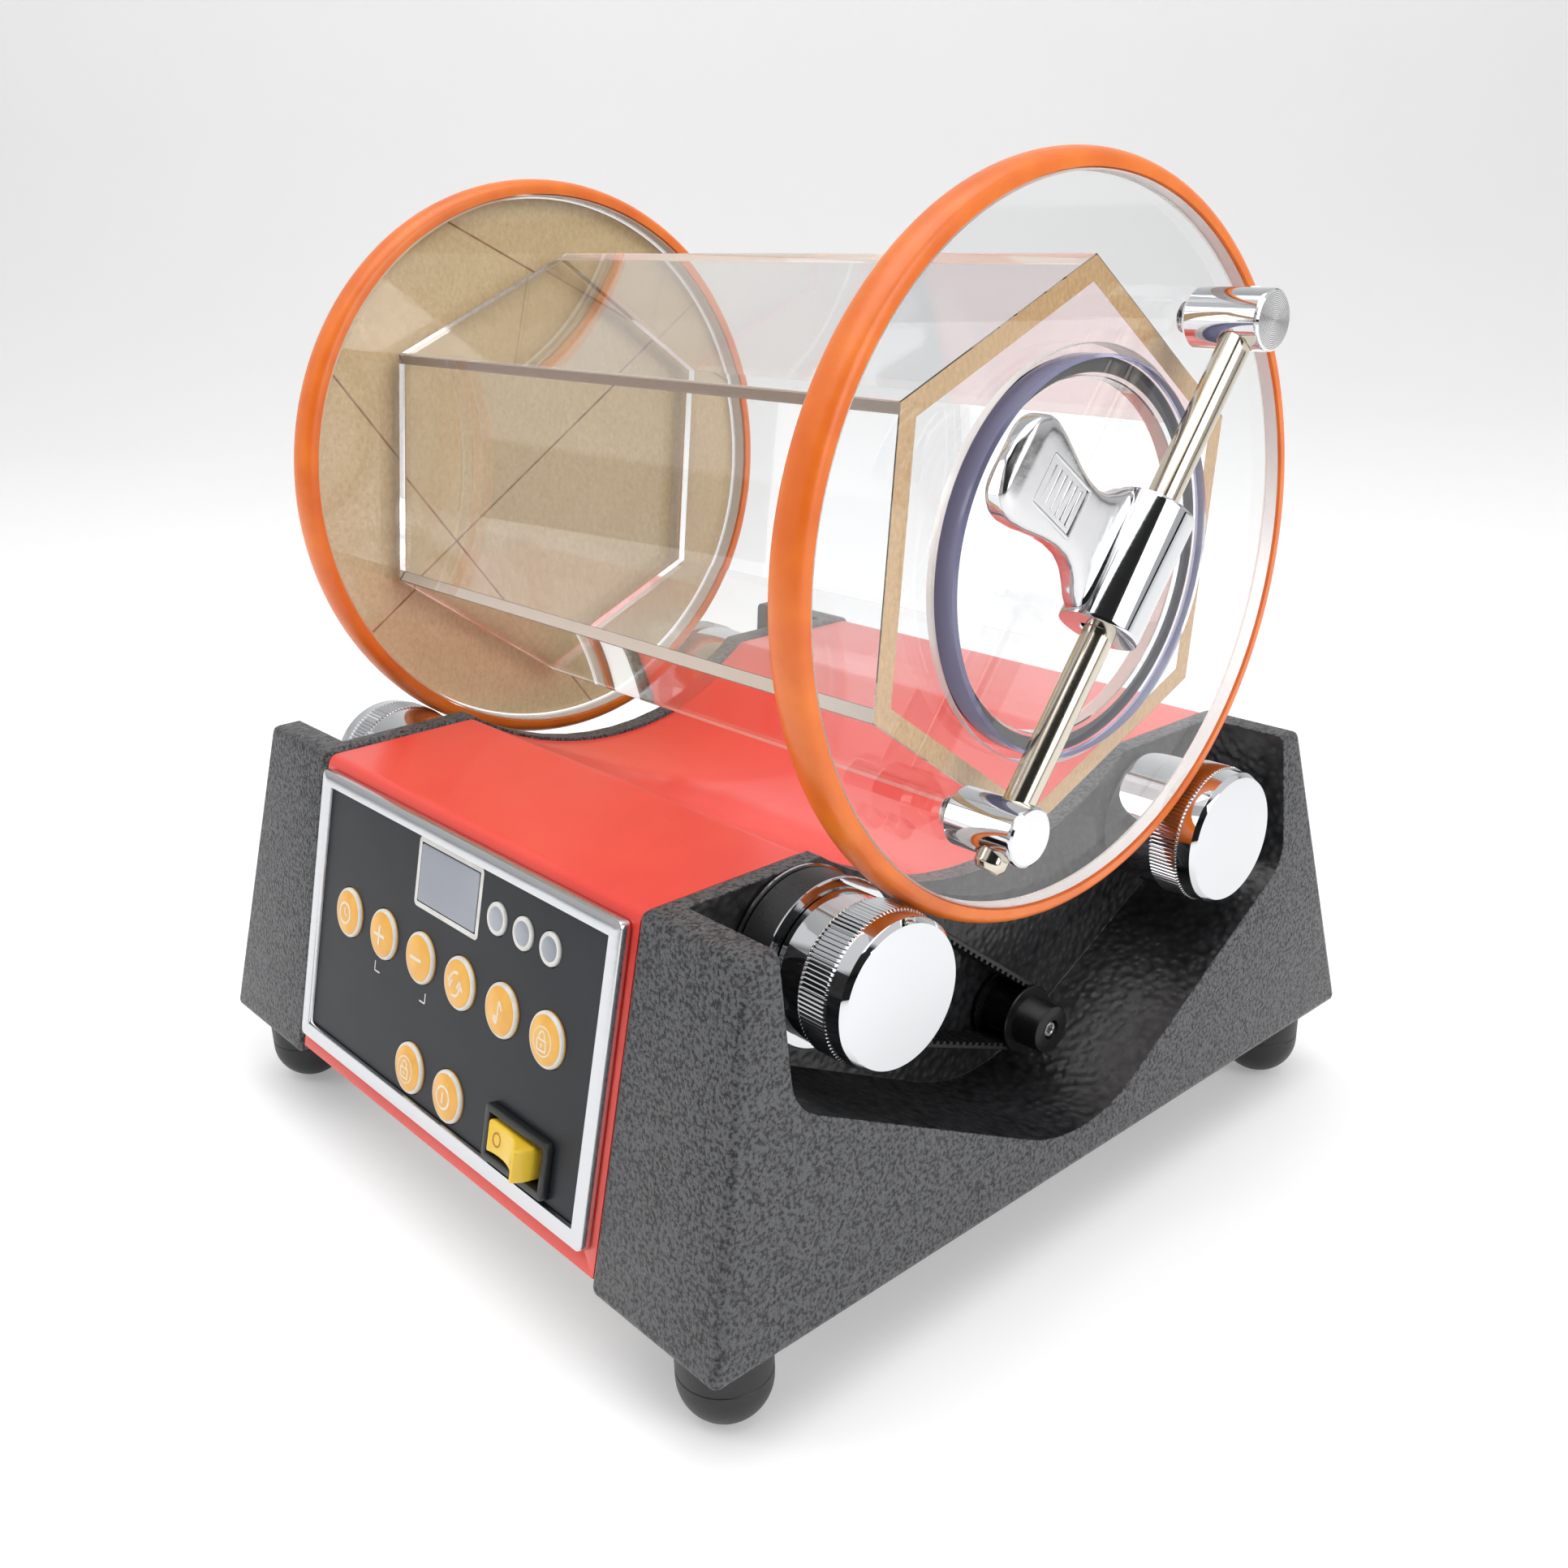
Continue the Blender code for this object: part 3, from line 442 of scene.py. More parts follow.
# %% Feet
RUBBER = Finish("black_rubber", (0.012, 0.012, 0.013), 0.5)
RUBBER.bump(RUBBER.noise(1400, 3), 0.00012, 0.6).gloss(RUBBER.noise(120), 0.34, 0.55)
for end in ("front", "rear"):
    for side in ("left", "right"):
        node = f"foot_{end}_{side}"
        low, high = box_mm(node)
        middle, r = (low + high) / 2, (high[0] - low[0]) / 2
        curve = [(r * cos(a), r - r * sin(a)) for a in np.linspace(0, radians(76), 20)]
        outline = [(0, high[2]), (r - 0.4, high[2]), (r, high[2] - 0.5), (r, r + 3),
                   (r - 0.15, r + 2.8), (r - 0.15, r + 2.2), (r, r + 2)]
        outline += curve + [(curve[-1][0] - 0.3, 0), (0, 0)]
        ball = turned(f"rubber_{node}", outline, frame_of((1, 0, 0), (0, 1, 0),
                                                          (middle[0], middle[1], 0)), 64)
        settle(wear(ball, RUBBER), "stand", "black_rubber", node)

# %% [markdown]
# ## The red body
#
# One sheet folded twice: a front that leans back 23 mm in 98, a roof with a round valley
# under the barrel, and a back like the front. The folds have a 4 mm radius. The opening
# behind the keypad is cut so that nothing behind the panel touches it.

# %% Body cover
RED = Finish("red_enamel", (0.83, 0.055, 0.035), 0.32, Coat_Weight=0.35, Coat_Roughness=0.12)
RED.tinted(14, 3, (0.80, 0.045, 0.030), (0.88, 0.075, 0.048))
RED.bump(RED.noise(900, 2), 0.00006, 0.5).gloss(RED.noise(60, 4), 0.26, 0.40)

LEAN = 23 / 98
UP = hypot(23, 98)
COVER_HALF = box_mm("body_cover")[1][0]


def cover_line(inset):
    """The body's outline from the front's foot to the back's: straight, valley, straight."""
    dip, roof = 102 + inset, 124 - inset
    swing = np.arccos((206.5 - roof) / dip)
    valley = [(dip * sin(a), 206.5 - dip * cos(a)) for a in np.linspace(-swing, swing, 60)]
    side = inset / 98 * UP
    foot, fold = -135 + side + 3.3 * LEAN, -135 + side + (roof - 26) * LEAN
    line = [(foot, 29.3), (fold, roof)] + valley + [(-fold, roof), (-foot, 29.3)]
    ease = [0, 4.0 - inset] + [1.5] + [0] * (len(valley) - 2) + [1.5, 4.0 - inset, 0]
    return rounded(line, ease, 6)


loop = np.vstack([cover_line(1.0), cover_line(2.5)[::-1]])
stations = np.linspace(-COVER_HALF, COVER_HALF, 9)
grid = np.stack([np.column_stack([np.full(len(loop), x), loop]) for x in stations])
cover = surface("red_cover", grid)
PANEL = frame_of((1, 0, 0), (0, 23 / UP, 98 / UP), (0, -135, 26))
opening = slab("panel_opening", (-70, 15.4), (70, 90), 1, -10, 6, PANEL)
carved(cover, opening)
settle(wear(cover, RED), "stand", "red_paint", "body_cover")

# %% [markdown]
# ## Rollers, shafts and belt
#
# Each roller is polished all over. Its gripping band has a straight knurl of 108 teeth:
# the radius falls by 0.55 |sin(54 a)| to the power 0.8, which leaves narrow crests.
# The belt has a tooth every 3 mm of its length.

# %% Polished metal
CHROME = Finish("polished_chrome", (0.71, 0.725, 0.74), 0.045, 1.0)
CHROME.gloss(CHROME.noise(260, 5, (1, 1, 6)), 0.025, 0.085)
CHROME.bump(CHROME.noise(420, 2), 0.00001, 0.25)
STEEL = Finish("turned_steel", (0.60, 0.59, 0.57), 0.28, 1.0)
STEEL.gloss(STEEL.noise(900, 4, (0.05, 1, 1)), 0.2, 0.42)
STEEL.bump(STEEL.noise(1500, 2, (0.03, 1, 1)), 0.00002, 0.4)
NICKEL = Finish("warm_nickel", (0.66, 0.60, 0.50), 0.12, 1.0)
NICKEL.gloss(NICKEL.noise(500, 4, (1, 4, 4)), 0.08, 0.2)
NICKEL.bump(NICKEL.noise(2200, 2), 0.00001, 0.3)
BLACK = Finish("black_plastic", (0.013, 0.013, 0.014), 0.36)
BLACK.bump(BLACK.noise(2600, 2), 0.00004, 0.5).gloss(BLACK.noise(150, 3), 0.28, 0.44)
ANODISED = Finish("black_anodised", (0.02, 0.02, 0.022), 0.3, 0.6)
ANODISED.gloss(ANODISED.noise(700, 3, (0.1, 1, 1)), 0.22, 0.38)
ANODISED.bump(ANODISED.noise(1800, 2, (0.1, 1, 1)), 0.00002, 0.4)


def knurl(r, h, a):
    """0.55 mm deep crests between |x| = 111.2 and 120.2."""
    inside = (np.abs(h) > 111.1) & (np.abs(h) < 120.3) & (r > 20.2)
    return np.where(inside, r - 0.55 * np.abs(np.sin(54 * a)) ** 0.8, r)


# %% Rollers
for end, y in (("front", ROLL_Y), ("rear", -ROLL_Y)):
    for side, sign in (("right", 1), ("left", -1)):
        node = f"roller_{end}_{side}"
        low, high = box_mm(node)
        inner, outer = (low[0], high[0]) if sign > 0 else (-high[0], -low[0])
        profile = [(0, outer), (18.3, outer), (18.6, outer - 0.08), (19.62, outer - 1.1),
                   (19.8, outer - 1.4), (19.8, 120.7), (19.85, 120.45), (20.5, 120.0),
                   (20.5, 119.0), (20.5, 112.4), (20.5, 111.4), (19.85, 110.95), (19.8, 110.6),
                   (19.8, inner + 0.5), (19.3, inner), (5.3, inner), (5.3, 121), (0, 121)]
        profile = [(r, sign * h) for r, h in profile]
        wheel = turned(f"chrome_{node}", profile, along_x(y, ROLL_Z), 648, knurl, sharp=30)
        settle(wear(wheel, CHROME), "drive_rollers" if end == "front" else "idler_rollers",
               "polished_chrome", node)

# %% Pulleys
low, high = box_mm("drive_pulley")
rim = (high[1] - low[1]) / 2
profile = [(5.3, high[0]), (rim - 0.3, high[0]), (rim, high[0] - 0.3), (rim, high[0] - 0.8),
           (19.4, high[0] - 1.1), (19.4, low[0] + 1.1), (rim, low[0] + 0.8), (rim, low[0] + 0.2),
           (rim - 0.2, low[0]), (5.3, low[0])]
wheel = turned("flanged_pulley", profile, along_x(ROLL_Y, ROLL_Z), 128, closed=True)
settle(wear(wheel, CHROME), "drive_rollers", "polished_chrome", "drive_pulley")

low, high = box_mm("motor_pulley")
MOTOR_Y, MOTOR_Z = (low[1] + high[1]) / 2, (low[2] + high[2]) / 2
rim, tip = (high[1] - low[1]) / 2, high[0]
profile = [(2.8, tip - 0.6), (3.0, tip), (6.5, tip), (7.0, tip - 0.25), (7.2, tip - 0.8),
           (7.2, 101.6), (7.4, 101.3), (rim - 0.3, 101.3), (rim, 101.0), (rim, 100.6),
           (7.6, 100.4), (7.6, 89.9),
           (rim, 89.7), (rim, 89.0), (rim - 0.2, 88.8), (2.8, 88.8)]
wheel = turned("motor_timing_pulley", profile, along_x(MOTOR_Y, MOTOR_Z), 96, closed=True,
               ripple=lambda r, h, a: np.where(np.abs(r - 7.6) < 0.01,
                                               r - 0.5 * (np.sin(8 * a) > 0.2), r))
settle(wear(wheel, ANODISED), "motor_pulley", "black_plastic", "motor_pulley")

low, high = box_mm("pulley_screw")
tip = high[0]
profile = ([(0, tip - 2.4), (1.15, tip - 2.4), (1.2, tip - 0.1), (1.3, tip)]
           + [(2.0, tip), (2.25, tip - 0.2), (2.3, tip - 0.5), (2.3, low[0]), (0, low[0])])
screw = turned("socket_screw", profile, along_x(MOTOR_Y, MOTOR_Z), 72,
               ripple=lambda r, h, a: np.where(np.abs(r - 1.2) < 0.06,
                                               1.15 / np.cos((a + pi / 6) % (pi / 3) - pi / 6), r))
settle(wear(screw, STEEL), "motor_pulley", "brushed_steel", "pulley_screw")


# %% The toothed belt
def belt_path(count=1440):
    """The pulleys' common outline: point, outward direction and length along it."""
    dy, dz = MOTOR_Y - ROLL_Y, MOTOR_Z - ROLL_Z
    heading = atan2(dz, dy)
    tilt = np.arccos((19.7 - 7.9) / hypot(dy, dz))
    big = np.linspace(heading + tilt, heading + 2 * pi - tilt, 400)
    small = np.linspace(heading - tilt, heading + tilt, 160)
    line = np.vstack([
        np.column_stack([ROLL_Y + 19.7 * np.cos(big), ROLL_Z + 19.7 * np.sin(big)]),
        np.column_stack([MOTOR_Y + 7.9 * np.cos(small), MOTOR_Z + 7.9 * np.sin(small)])])
    line = np.vstack([line, line[:1]])
    length = np.concatenate([[0], np.cumsum(np.linalg.norm(np.diff(line, axis=0), axis=1))])
    along = np.linspace(0, length[-1], count, endpoint=False)
    spot = np.column_stack([np.interp(along, length, line[:, k]) for k in (0, 1)])
    way = np.roll(spot, -1, axis=0) - np.roll(spot, 1, axis=0)
    way /= np.linalg.norm(way, axis=1, keepdims=True)
    return spot, np.column_stack([way[:, 1], -way[:, 0]]), along / length[-1]


spot, out, share = belt_path()
teeth = round(spot.shape[0] / 15.6)
tooth = 1 / (1 + np.exp(-14 * (np.cos(2 * pi * teeth * share) - 0.1)))
low, high = box_mm("timing_belt")[0][0], box_mm("timing_belt")[1][0]
rows = []
for x, rise in ((low, None), (low, 1.9), (low + 0.3, 2.2),
                (high - 0.3, 2.2), (high, 1.9), (high, None)):
    lift = 1.0 - 0.95 * tooth if rise is None else np.full(len(tooth), rise)
    rows.append(np.column_stack([np.full(len(lift), x), spot + out * lift[:, None]]))
belt = surface("toothed_belt", np.array(rows), wrap_rows=True)
settle(wear(belt, RUBBER), "stand", "black_rubber", "timing_belt")

# %% [markdown]
# ## The drum
#
# Two clear discs with a clear hexagonal barrel between them. Clear plastic bends light with
# an index of 1.49. Sawn edges are frosted, the barrel's glued mitres show as pale strips,
# and brown paper masks the ends of its walls and the outside of the far disc.

# %% Clear plastic
CLEAR = Finish("clear_acrylic", (0.985, 0.99, 0.995), 0.012, Transmission_Weight=1.0, IOR=1.49)
CLEAR.bump(CLEAR.noise(45, 3), 0.00002, 0.25).clear_for_lamps()
EDGE = Finish("violet_edge", (0.42, 0.42, 0.66), 0.10, Transmission_Weight=0.5, IOR=1.49)
EDGE.bump(EDGE.noise(300, 3), 0.00003, 0.3).clear_for_lamps()
SAWN = Finish("sawn_edge", (0.97, 0.90, 0.84), 0.42, Transmission_Weight=0.6, IOR=1.49)
SAWN.bump(SAWN.noise(1200, 3, (0.3, 1, 1)), 0.00008, 0.5)
ORANGE = Finish("orange_rubber", (0.80, 0.17, 0.015), 0.34, Subsurface_Weight=0.12,
                Subsurface_Scale=0.002, Coat_Weight=0.15, Coat_Roughness=0.25)
ORANGE.tinted(70, 4, (0.76, 0.145, 0.012), (0.88, 0.21, 0.02))
ORANGE.bump(ORANGE.noise(1300, 3), 0.00008, 0.5).gloss(ORANGE.noise(200, 2), 0.28, 0.44)
KRAFT = Finish("kraft_paper", (0.62, 0.45, 0.24), 0.75)
fibre = KRAFT.noise(900, 6, (1, 1, 0.7), 0.65)
KRAFT.colour(KRAFT.blend(KRAFT.noise(55, 4), KRAFT.ramp(fibre, (0.3, (0.42, 0.26, 0.12)),
                         (0.7, (0.60, 0.39, 0.20))), KRAFT.ramp(fibre, (0.3, (0.50, 0.32, 0.16)),
                                                                  (0.7, (0.68, 0.46, 0.25)))))
KRAFT.bump(fibre, 0.00012, 0.5)
SEAM = Finish("glued_mitre", (0.86, 0.72, 0.60), 0.5, Transmission_Weight=0.0, Alpha=0.34)
SEAM.bump(SEAM.noise(1600, 3), 0.0001, 0.5)

# %% Discs and tyres
axis = along_x(0, DRUM_Z)
round_off = 0.5
profile = [(DISC_R - round_off, DISC_OUT), (DISC_R, DISC_OUT - round_off),
           (DISC_R, DISC_IN + round_off), (DISC_R - round_off, DISC_IN), (44.3, DISC_IN),
           (44, DISC_IN + 0.3), (44, 113.0), (44.3, 113.3), (51.6, 113.3), (51.6, DISC_OUT - 0.4),
           (52.0, DISC_OUT)]
disc = turned("near_disc", profile, axis, 192, closed=True, sharp=30)
wear(disc, CLEAR, SAWN)
x, y, z = face_middles(disc).T
r = np.hypot(y, z - DRUM_Z)
paint_faces(disc, ((r > 51) & (r < 51.9)) | (r > DISC_R - 0.3))
settle(disc, "drum", "clear_acrylic", "disc_right")
profile = [(0, -DISC_IN), (DISC_R - round_off, -DISC_IN), (DISC_R, -DISC_IN - round_off),
           (DISC_R, -DISC_OUT + round_off), (DISC_R - round_off, -DISC_OUT), (0, -DISC_OUT)]
disc = turned("far_disc", profile, axis, 192, sharp=30)
wear(disc, CLEAR, SAWN)
x, y, z = face_middles(disc).T
paint_faces(disc, np.hypot(y, z - DRUM_Z) > DISC_R - 0.3)
settle(disc, "drum", "clear_acrylic", "disc_left")
for side, sign in (("right", 1), ("left", -1)):
    low, high = box_mm(f"tyre_{side}")
    middle, half = (low[0] + high[0]) / 2, (high[0] - low[0]) / 2
    tread = [(DISC_R + 0.3 + (TYRE_R - DISC_R - 0.3) * cos(t) ** 0.62, middle + half * sin(t))
             for t in np.linspace(-pi / 2, pi / 2, 25)]
    tyre = turned(f"orange_tyre_{side}", tread, axis, 192, closed=True)
    settle(wear(tyre, ORANGE), "drum", "orange_rubber", f"tyre_{side}")

# %% Barrel
TURN = radians(-7)
WALL_IN = 72 - 5 / cos(radians(30))
BARREL_END = box_mm("barrel")[1][0]


def hexagon(radius, x):
    """Six corners (x, r cos a, z + r sin a), turned 7 degrees from upright."""
    return [(x, radius * cos(a), DRUM_Z + radius * sin(a))
            for a in (radians(30 + 60 * i) + TURN for i in range(6))]


barrel = surface("hexagonal_barrel", np.array([hexagon(72, -BARREL_END), hexagon(72, BARREL_END),
                                               hexagon(WALL_IN, BARREL_END),
                                               hexagon(WALL_IN, -BARREL_END)]),
                 wrap_rows=True, caps=False, sharp=20)
settle(wear(barrel, CLEAR), "drum", "clear_acrylic", "barrel")
seams = []
for i in range(6):
    outer, inner = np.array(hexagon(71.7, 0)[i]), np.array(hexagon(WALL_IN + 0.3, 0)[i])
    side = np.cross(outer - inner, (1, 0, 0))
    side *= 0.12 / np.linalg.norm(side)
    end = np.array([BARREL_END - 0.4, 0, 0])
    ring = [outer + side, outer - side, inner - side, inner + side]
    ends = np.array([[p - end for p in ring], [p + end for p in ring]])
    seams.append(surface(f"mitre_{i}", ends))
settle(wear(joined("glued_mitres", *seams), SEAM), "drum", "clear_acrylic")
masks = []
for sign in (1, -1):
    near, far = sign * (BARREL_END + 0.06), sign * (BARREL_END + 0.24)
    masks.append(surface(f"mask_{sign + 1}", np.array([hexagon(71.6, near), hexagon(71.6, far),
                                                       hexagon(WALL_IN - 0.5, far),
                                                       hexagon(WALL_IN - 0.5, near)]),
                         wrap_rows=True, caps=False))
settle(wear(joined("masked_wall_ends", *masks), KRAFT), "drum", "kraft_paper")

# %% [markdown]
# ### The paper on the far disc
#
# A sheet of masking paper still covers the outside of the far disc. A few brown pencil lines
# from marking out cross it: the distance from a line, |n . p - d|, darkens the paper.

# %% Masking paper
PAPER = Finish("marked_kraft_paper", (0.62, 0.45, 0.24), 0.75)
fibre = PAPER.noise(800, 6, (1, 1, 0.75), 0.7)
sheet_tone = PAPER.blend(PAPER.noise(40, 4), PAPER.ramp(fibre, (0.3, (0.56, 0.40, 0.20)),
                         (0.7, (0.74, 0.56, 0.32))), PAPER.ramp(fibre, (0.3, (0.62, 0.46, 0.25)),
                                                                  (0.7, (0.80, 0.62, 0.38))))
parts = PAPER.add("ShaderNodeSeparateXYZ", {0: PAPER.place})
lines = None
for angle, offset in ((34.7, -42), (123.5, 3.5), (62, 58)):
    ny, nz = cos(radians(angle)), sin(radians(angle))
    reach = (offset + DRUM_Z * nz) * MM + SHIFT[1] * ny
    across = PAPER.math("MULTIPLY_ADD", parts.outputs["Z"], nz,
                        PAPER.math("MULTIPLY_ADD", parts.outputs["Y"], ny, -reach))
    near = PAPER.math("LESS_THAN", PAPER.math("ABSOLUTE", across), 0.00034)
    lines = near if lines is None else PAPER.math("MAXIMUM", lines, near)
faint = PAPER.math("MULTIPLY", lines, PAPER.noise(120, 2))
PAPER.colour(PAPER.blend(PAPER.math("MULTIPLY", faint, 1.5), sheet_tone, (0.26, 0.10, 0.05)))
PAPER.bump(fibre, 0.0001, 0.5)
low, high = box_mm("protective_paper")
r = (high[1] - low[1]) / 2
sheet = turned("masking_paper", [(0, high[0]), (r, high[0]), (r, low[0]), (0, low[0])], axis, 160)
settle(wear(sheet, PAPER), "drum", "kraft_paper", "protective_paper")

# %% [markdown]
# ### Lid and seal
#
# The lid is a thick clear disc that sits in the bore on a black rubber ring. Looking along
# its edge the plastic shows a blue-violet tint.

# %% Lid
low, high = box_mm("lid")
r = (high[1] - low[1]) / 2
profile = [(0, high[0]), (r - 3.4, high[0]), (r - 0.8, high[0]), (r, high[0] - 0.8),
           (r, low[0] + 0.5), (r - 0.5, low[0]), (r - 3.4, low[0]), (0, low[0])]
lid = turned("clear_lid", profile, axis, 160, sharp=30)
wear(lid, CLEAR, EDGE)
x, y, z = face_middles(lid).T
paint_faces(lid, np.hypot(y, z - DRUM_Z) > r - 0.9)
settle(lid, "drum", "clear_acrylic", "lid")
low, high = box_mm("lid_seal")
r_out, middle, half = (high[1] - low[1]) / 2, (low[0] + high[0]) / 2, (high[0] - low[0]) / 2
ring = [(r_out - 2 + 2 * cos(t), middle + half * sin(t)) for t in np.linspace(0, 2 * pi, 24)[:-1]]
seal = turned("rubber_seal", ring, axis, 144, closed=True)
settle(wear(seal, RUBBER), "drum", "black_rubber", "lid_seal")

# %% [markdown]
# ## The clamp
#
# Two posts screwed into the near disc carry a rod, and a cam lever on the rod presses the
# lid. A post's thread is a helix: the radius follows a triangle wave of h + a / 2 pi, which
# climbs 1 mm in each turn. Its end face keeps the fine circles of the lathe.

# %% Posts
ROD_TILT = radians(52.2)
ROD_X = (box_mm("clamp_rod")[0][0] + box_mm("clamp_rod")[1][0]) / 2
ROD_WAY = np.array([0, cos(ROD_TILT), sin(ROD_TILT)])
ARM_WAY = np.array([0, -sin(ROD_TILT), cos(ROD_TILT)])
ROD_MIDDLE = np.array([ROD_X, 0, DRUM_Z])
TURNED = Finish("turned_chrome", (0.80, 0.80, 0.80), 0.16, 1.0)
TURNED.gloss(TURNED.noise(700, 3), 0.1, 0.24).bump(TURNED.noise(1800, 2), 0.00001, 0.3)


def thread(r, h, a):
    """A 1 mm pitch thread below the disc's face."""
    wave = np.abs(((h + a / (2 * pi)) % 1.0) - 0.5) * 2
    return np.where((h < DISC_OUT - 0.1) & (r > 3), r - 0.5 + 0.55 * wave, r)


for name in ("upper", "lower"):
    node = f"clamp_post_{name}"
    low, high = box_mm(node)
    y, z, r, tip = (low[1] + high[1]) / 2, (low[2] + high[2]) / 2, (high[1] - low[1]) / 2, high[0]
    profile = ringed(r - 0.7, tip)[::-1] + [(r - 0.15, tip - 0.35), (r, tip - 0.9)]
    profile += [(r, h) for h in np.linspace(tip - 1.2, DISC_OUT + 2.2, 30)]
    profile += [(r - 0.3, DISC_OUT + 1.9), (r - 1.7, DISC_OUT + 0.35), (4.1, DISC_OUT + 0.3)]
    profile += [(3.9, h) for h in np.linspace(DISC_OUT - 0.05, low[0] + 0.4, 40)]
    profile += [(3.2, low[0] + 0.05), (0, low[0] + 0.05)]
    post = turned(f"chrome_post_{name}", profile, along_x(y, z), 80, thread, sharp=40)
    away = np.array([0, y, z]) - np.array([0, 0, DRUM_Z])
    bore = turned("post_bore", [(0, 12), (4.3, 12), (4.3, -12), (0, -12)],
                  frame_of(ARM_WAY, (1, 0, 0), ROD_MIDDLE + away), 48)
    carved(post, bore)
    wear(post, CHROME, TURNED)
    x, py, pz = face_middles(post).T
    paint_faces(post, ((x > tip - 0.2) & (np.hypot(py - y, pz - z) < r - 0.7)) | (x < DISC_OUT))
    settle(post, "drum", "polished_chrome", node)

# %% Rod
start, stop = -80.4, 76.8
across = frame_of((1, 0, 0), np.cross(ROD_WAY, (1, 0, 0)), ROD_MIDDLE)
profile = [(0, stop), (3.5, stop), (3.85, stop - 0.2), (4, stop - 0.6),
           *[(4, h) for h in np.linspace(stop - 1, start + 2, 40)], (4, start + 1.5),
           (3.85, start + 1.1), (2.9, start), (0, start)]
rod = turned("nickel_rod", profile, across, 64)
settle(wear(rod, NICKEL), "clamp_rod", "nickel_rod", "clamp_rod")

# %% [markdown]
# ### The cam lever
#
# A round hub 34 mm long with a cast arm. The arm is a stack of rounded rectangles along its
# length s: half-width w(s) narrows to a waist and flares to a round tip, and each section is
# the curve |y/w|^5 + |z/t|^5 = 1. A plain raised frame with ribs fills its outer face.

# %% Lever
LEVER = frame_of(ARM_WAY, ROD_WAY, ROD_MIDDLE)
HUB_R, HUB_HALF = 10.2, 17.0
ACROSS = frame_of(np.cross(ROD_WAY, (-1, 0, 0)), (-1, 0, 0), ROD_MIDDLE - np.array([0.7, 0, 0]))
CAST = Finish("cast_chrome", (0.70, 0.70, 0.71), 0.16, 1.0)
CAST.gloss(CAST.noise(420, 4), 0.10, 0.26)
CAST.bump(CAST.noise(260, 3), 0.00012, 0.45)
profile = [(4.3, HUB_HALF - 0.4), (4.6, HUB_HALF), (HUB_R - 0.7, HUB_HALF),
           (HUB_R - 0.2, HUB_HALF - 0.2), (HUB_R, HUB_HALF - 0.7),
           *[(HUB_R, h) for h in np.linspace(HUB_HALF - 1, 1 - HUB_HALF, 24)],
           (HUB_R, -HUB_HALF + 0.7),
           (HUB_R - 0.2, -HUB_HALF + 0.2), (HUB_R - 0.7, -HUB_HALF), (4.6, -HUB_HALF),
           (4.3, -HUB_HALF + 0.4)]
hub = turned("lever_hub", profile, ACROSS, 128, closed=True)

s = np.linspace(0, 1, 90)
along = 3 + 51 * s
keys = ([3, 9, 12, 15, 18, 22, 27, 32, 40, 45, 48, 51, 53, 53.8, 54],
        [16.6, 16.4, 15.0, 12.2, 10.1, 8.9, 8.9, 9.8, 12.0, 12.9, 12.6, 10.9, 7.4, 4.0, 0.6])
width = np.interp(along, *keys)
width = np.convolve(np.pad(width, 2, mode="edge"), [0.1, 0.2, 0.4, 0.2, 0.1], "valid")
thick = np.interp(along, [3, 14, 30, 48, 52, 54], [3.6, 3.3, 3.4, 3.8, 3.3, 1.2])
middle = np.interp(along, [3, 14, 54], [3.0, 3.1, 2.9])
turn = np.linspace(0, 2 * pi, 72, endpoint=False)
round_y = np.sign(np.cos(turn)) * np.abs(np.cos(turn)) ** 0.4
round_z = np.sign(np.sin(turn)) * np.abs(np.sin(turn)) ** 0.4
grid = np.stack([np.repeat(along[:, None], 72, axis=1), width[:, None] * round_y,
                 middle[:, None] + thick[:, None] * round_z], axis=-1)
arm = surface("lever_arm", carry(grid, LEVER), sharp=50)
face = frame_of(ARM_WAY, -ROD_WAY, ROD_MIDDLE)
raised = [swept("relief_frame", (26, -6.6), (43.5, 6.6), 0.8,
                [(0, -0.2), (0, 0.62), (0.2, 0.75), (0.7, 0.75), (0.9, 0.62), (0.9, -0.2)], face)]
raised += [slab(f"relief_rib_{k}", (28.2 + 2.4 * k, -4.6), (29.4 + 2.4 * k, 4.6), 0.5, -0.2,
                0.68, face, edge=0.2) for k in range(6)]
lever = joined("cam_lever", hub, arm, *raised)
wear(lever, CHROME, CAST)
middles = face_middles(lever) - ROD_MIDDLE
paint_faces(lever, (middles @ ARM_WAY > 12) & (middles @ np.array([1.0, 0, 0]) > -1.2))
settle(lever, "clamp_lever", "polished_chrome", "clamp_lever")

# %% [markdown]
# ## The control panel
#
# A chrome frame lies round a dark film. Eight domed keys stand in it, each with a pale rim
# and a plain picture for its job: a clock, plus, minus, turning arrows, a note, padlocks and
# a power sign. Pictures are strokes: a line of points given a width and laid on the dome
# h(r) = 2 - 1.2 (r / R)^2.6.

# %% Panel finishes
FILM = Finish("panel_film", (0.017, 0.018, 0.022), 0.40, Specular_IOR_Level=0.22)
FILM.tinted(9, 2, (0.014, 0.015, 0.018), (0.022, 0.024, 0.029))
FILM.bump(FILM.noise(2400, 2), 0.00002, 0.4).gloss(FILM.noise(90, 3), 0.28, 0.40)
BEZEL = Finish("bezel_chrome", (0.66, 0.67, 0.69), 0.16, 1.0)
BEZEL.gloss(BEZEL.noise(350, 4, (0.2, 3, 3)), 0.08, 0.30)
BEZEL.bump(BEZEL.noise(500, 4, (0.15, 1, 1)), 0.00004, 0.5)
AMBER = Finish("amber_key", (0.84, 0.36, 0.045), 0.34, Subsurface_Weight=0.2,
               Subsurface_Scale=0.002, Coat_Weight=0.2, Coat_Roughness=0.2)
AMBER.tinted(160, 2, (0.86, 0.42, 0.06), (0.94, 0.51, 0.09))
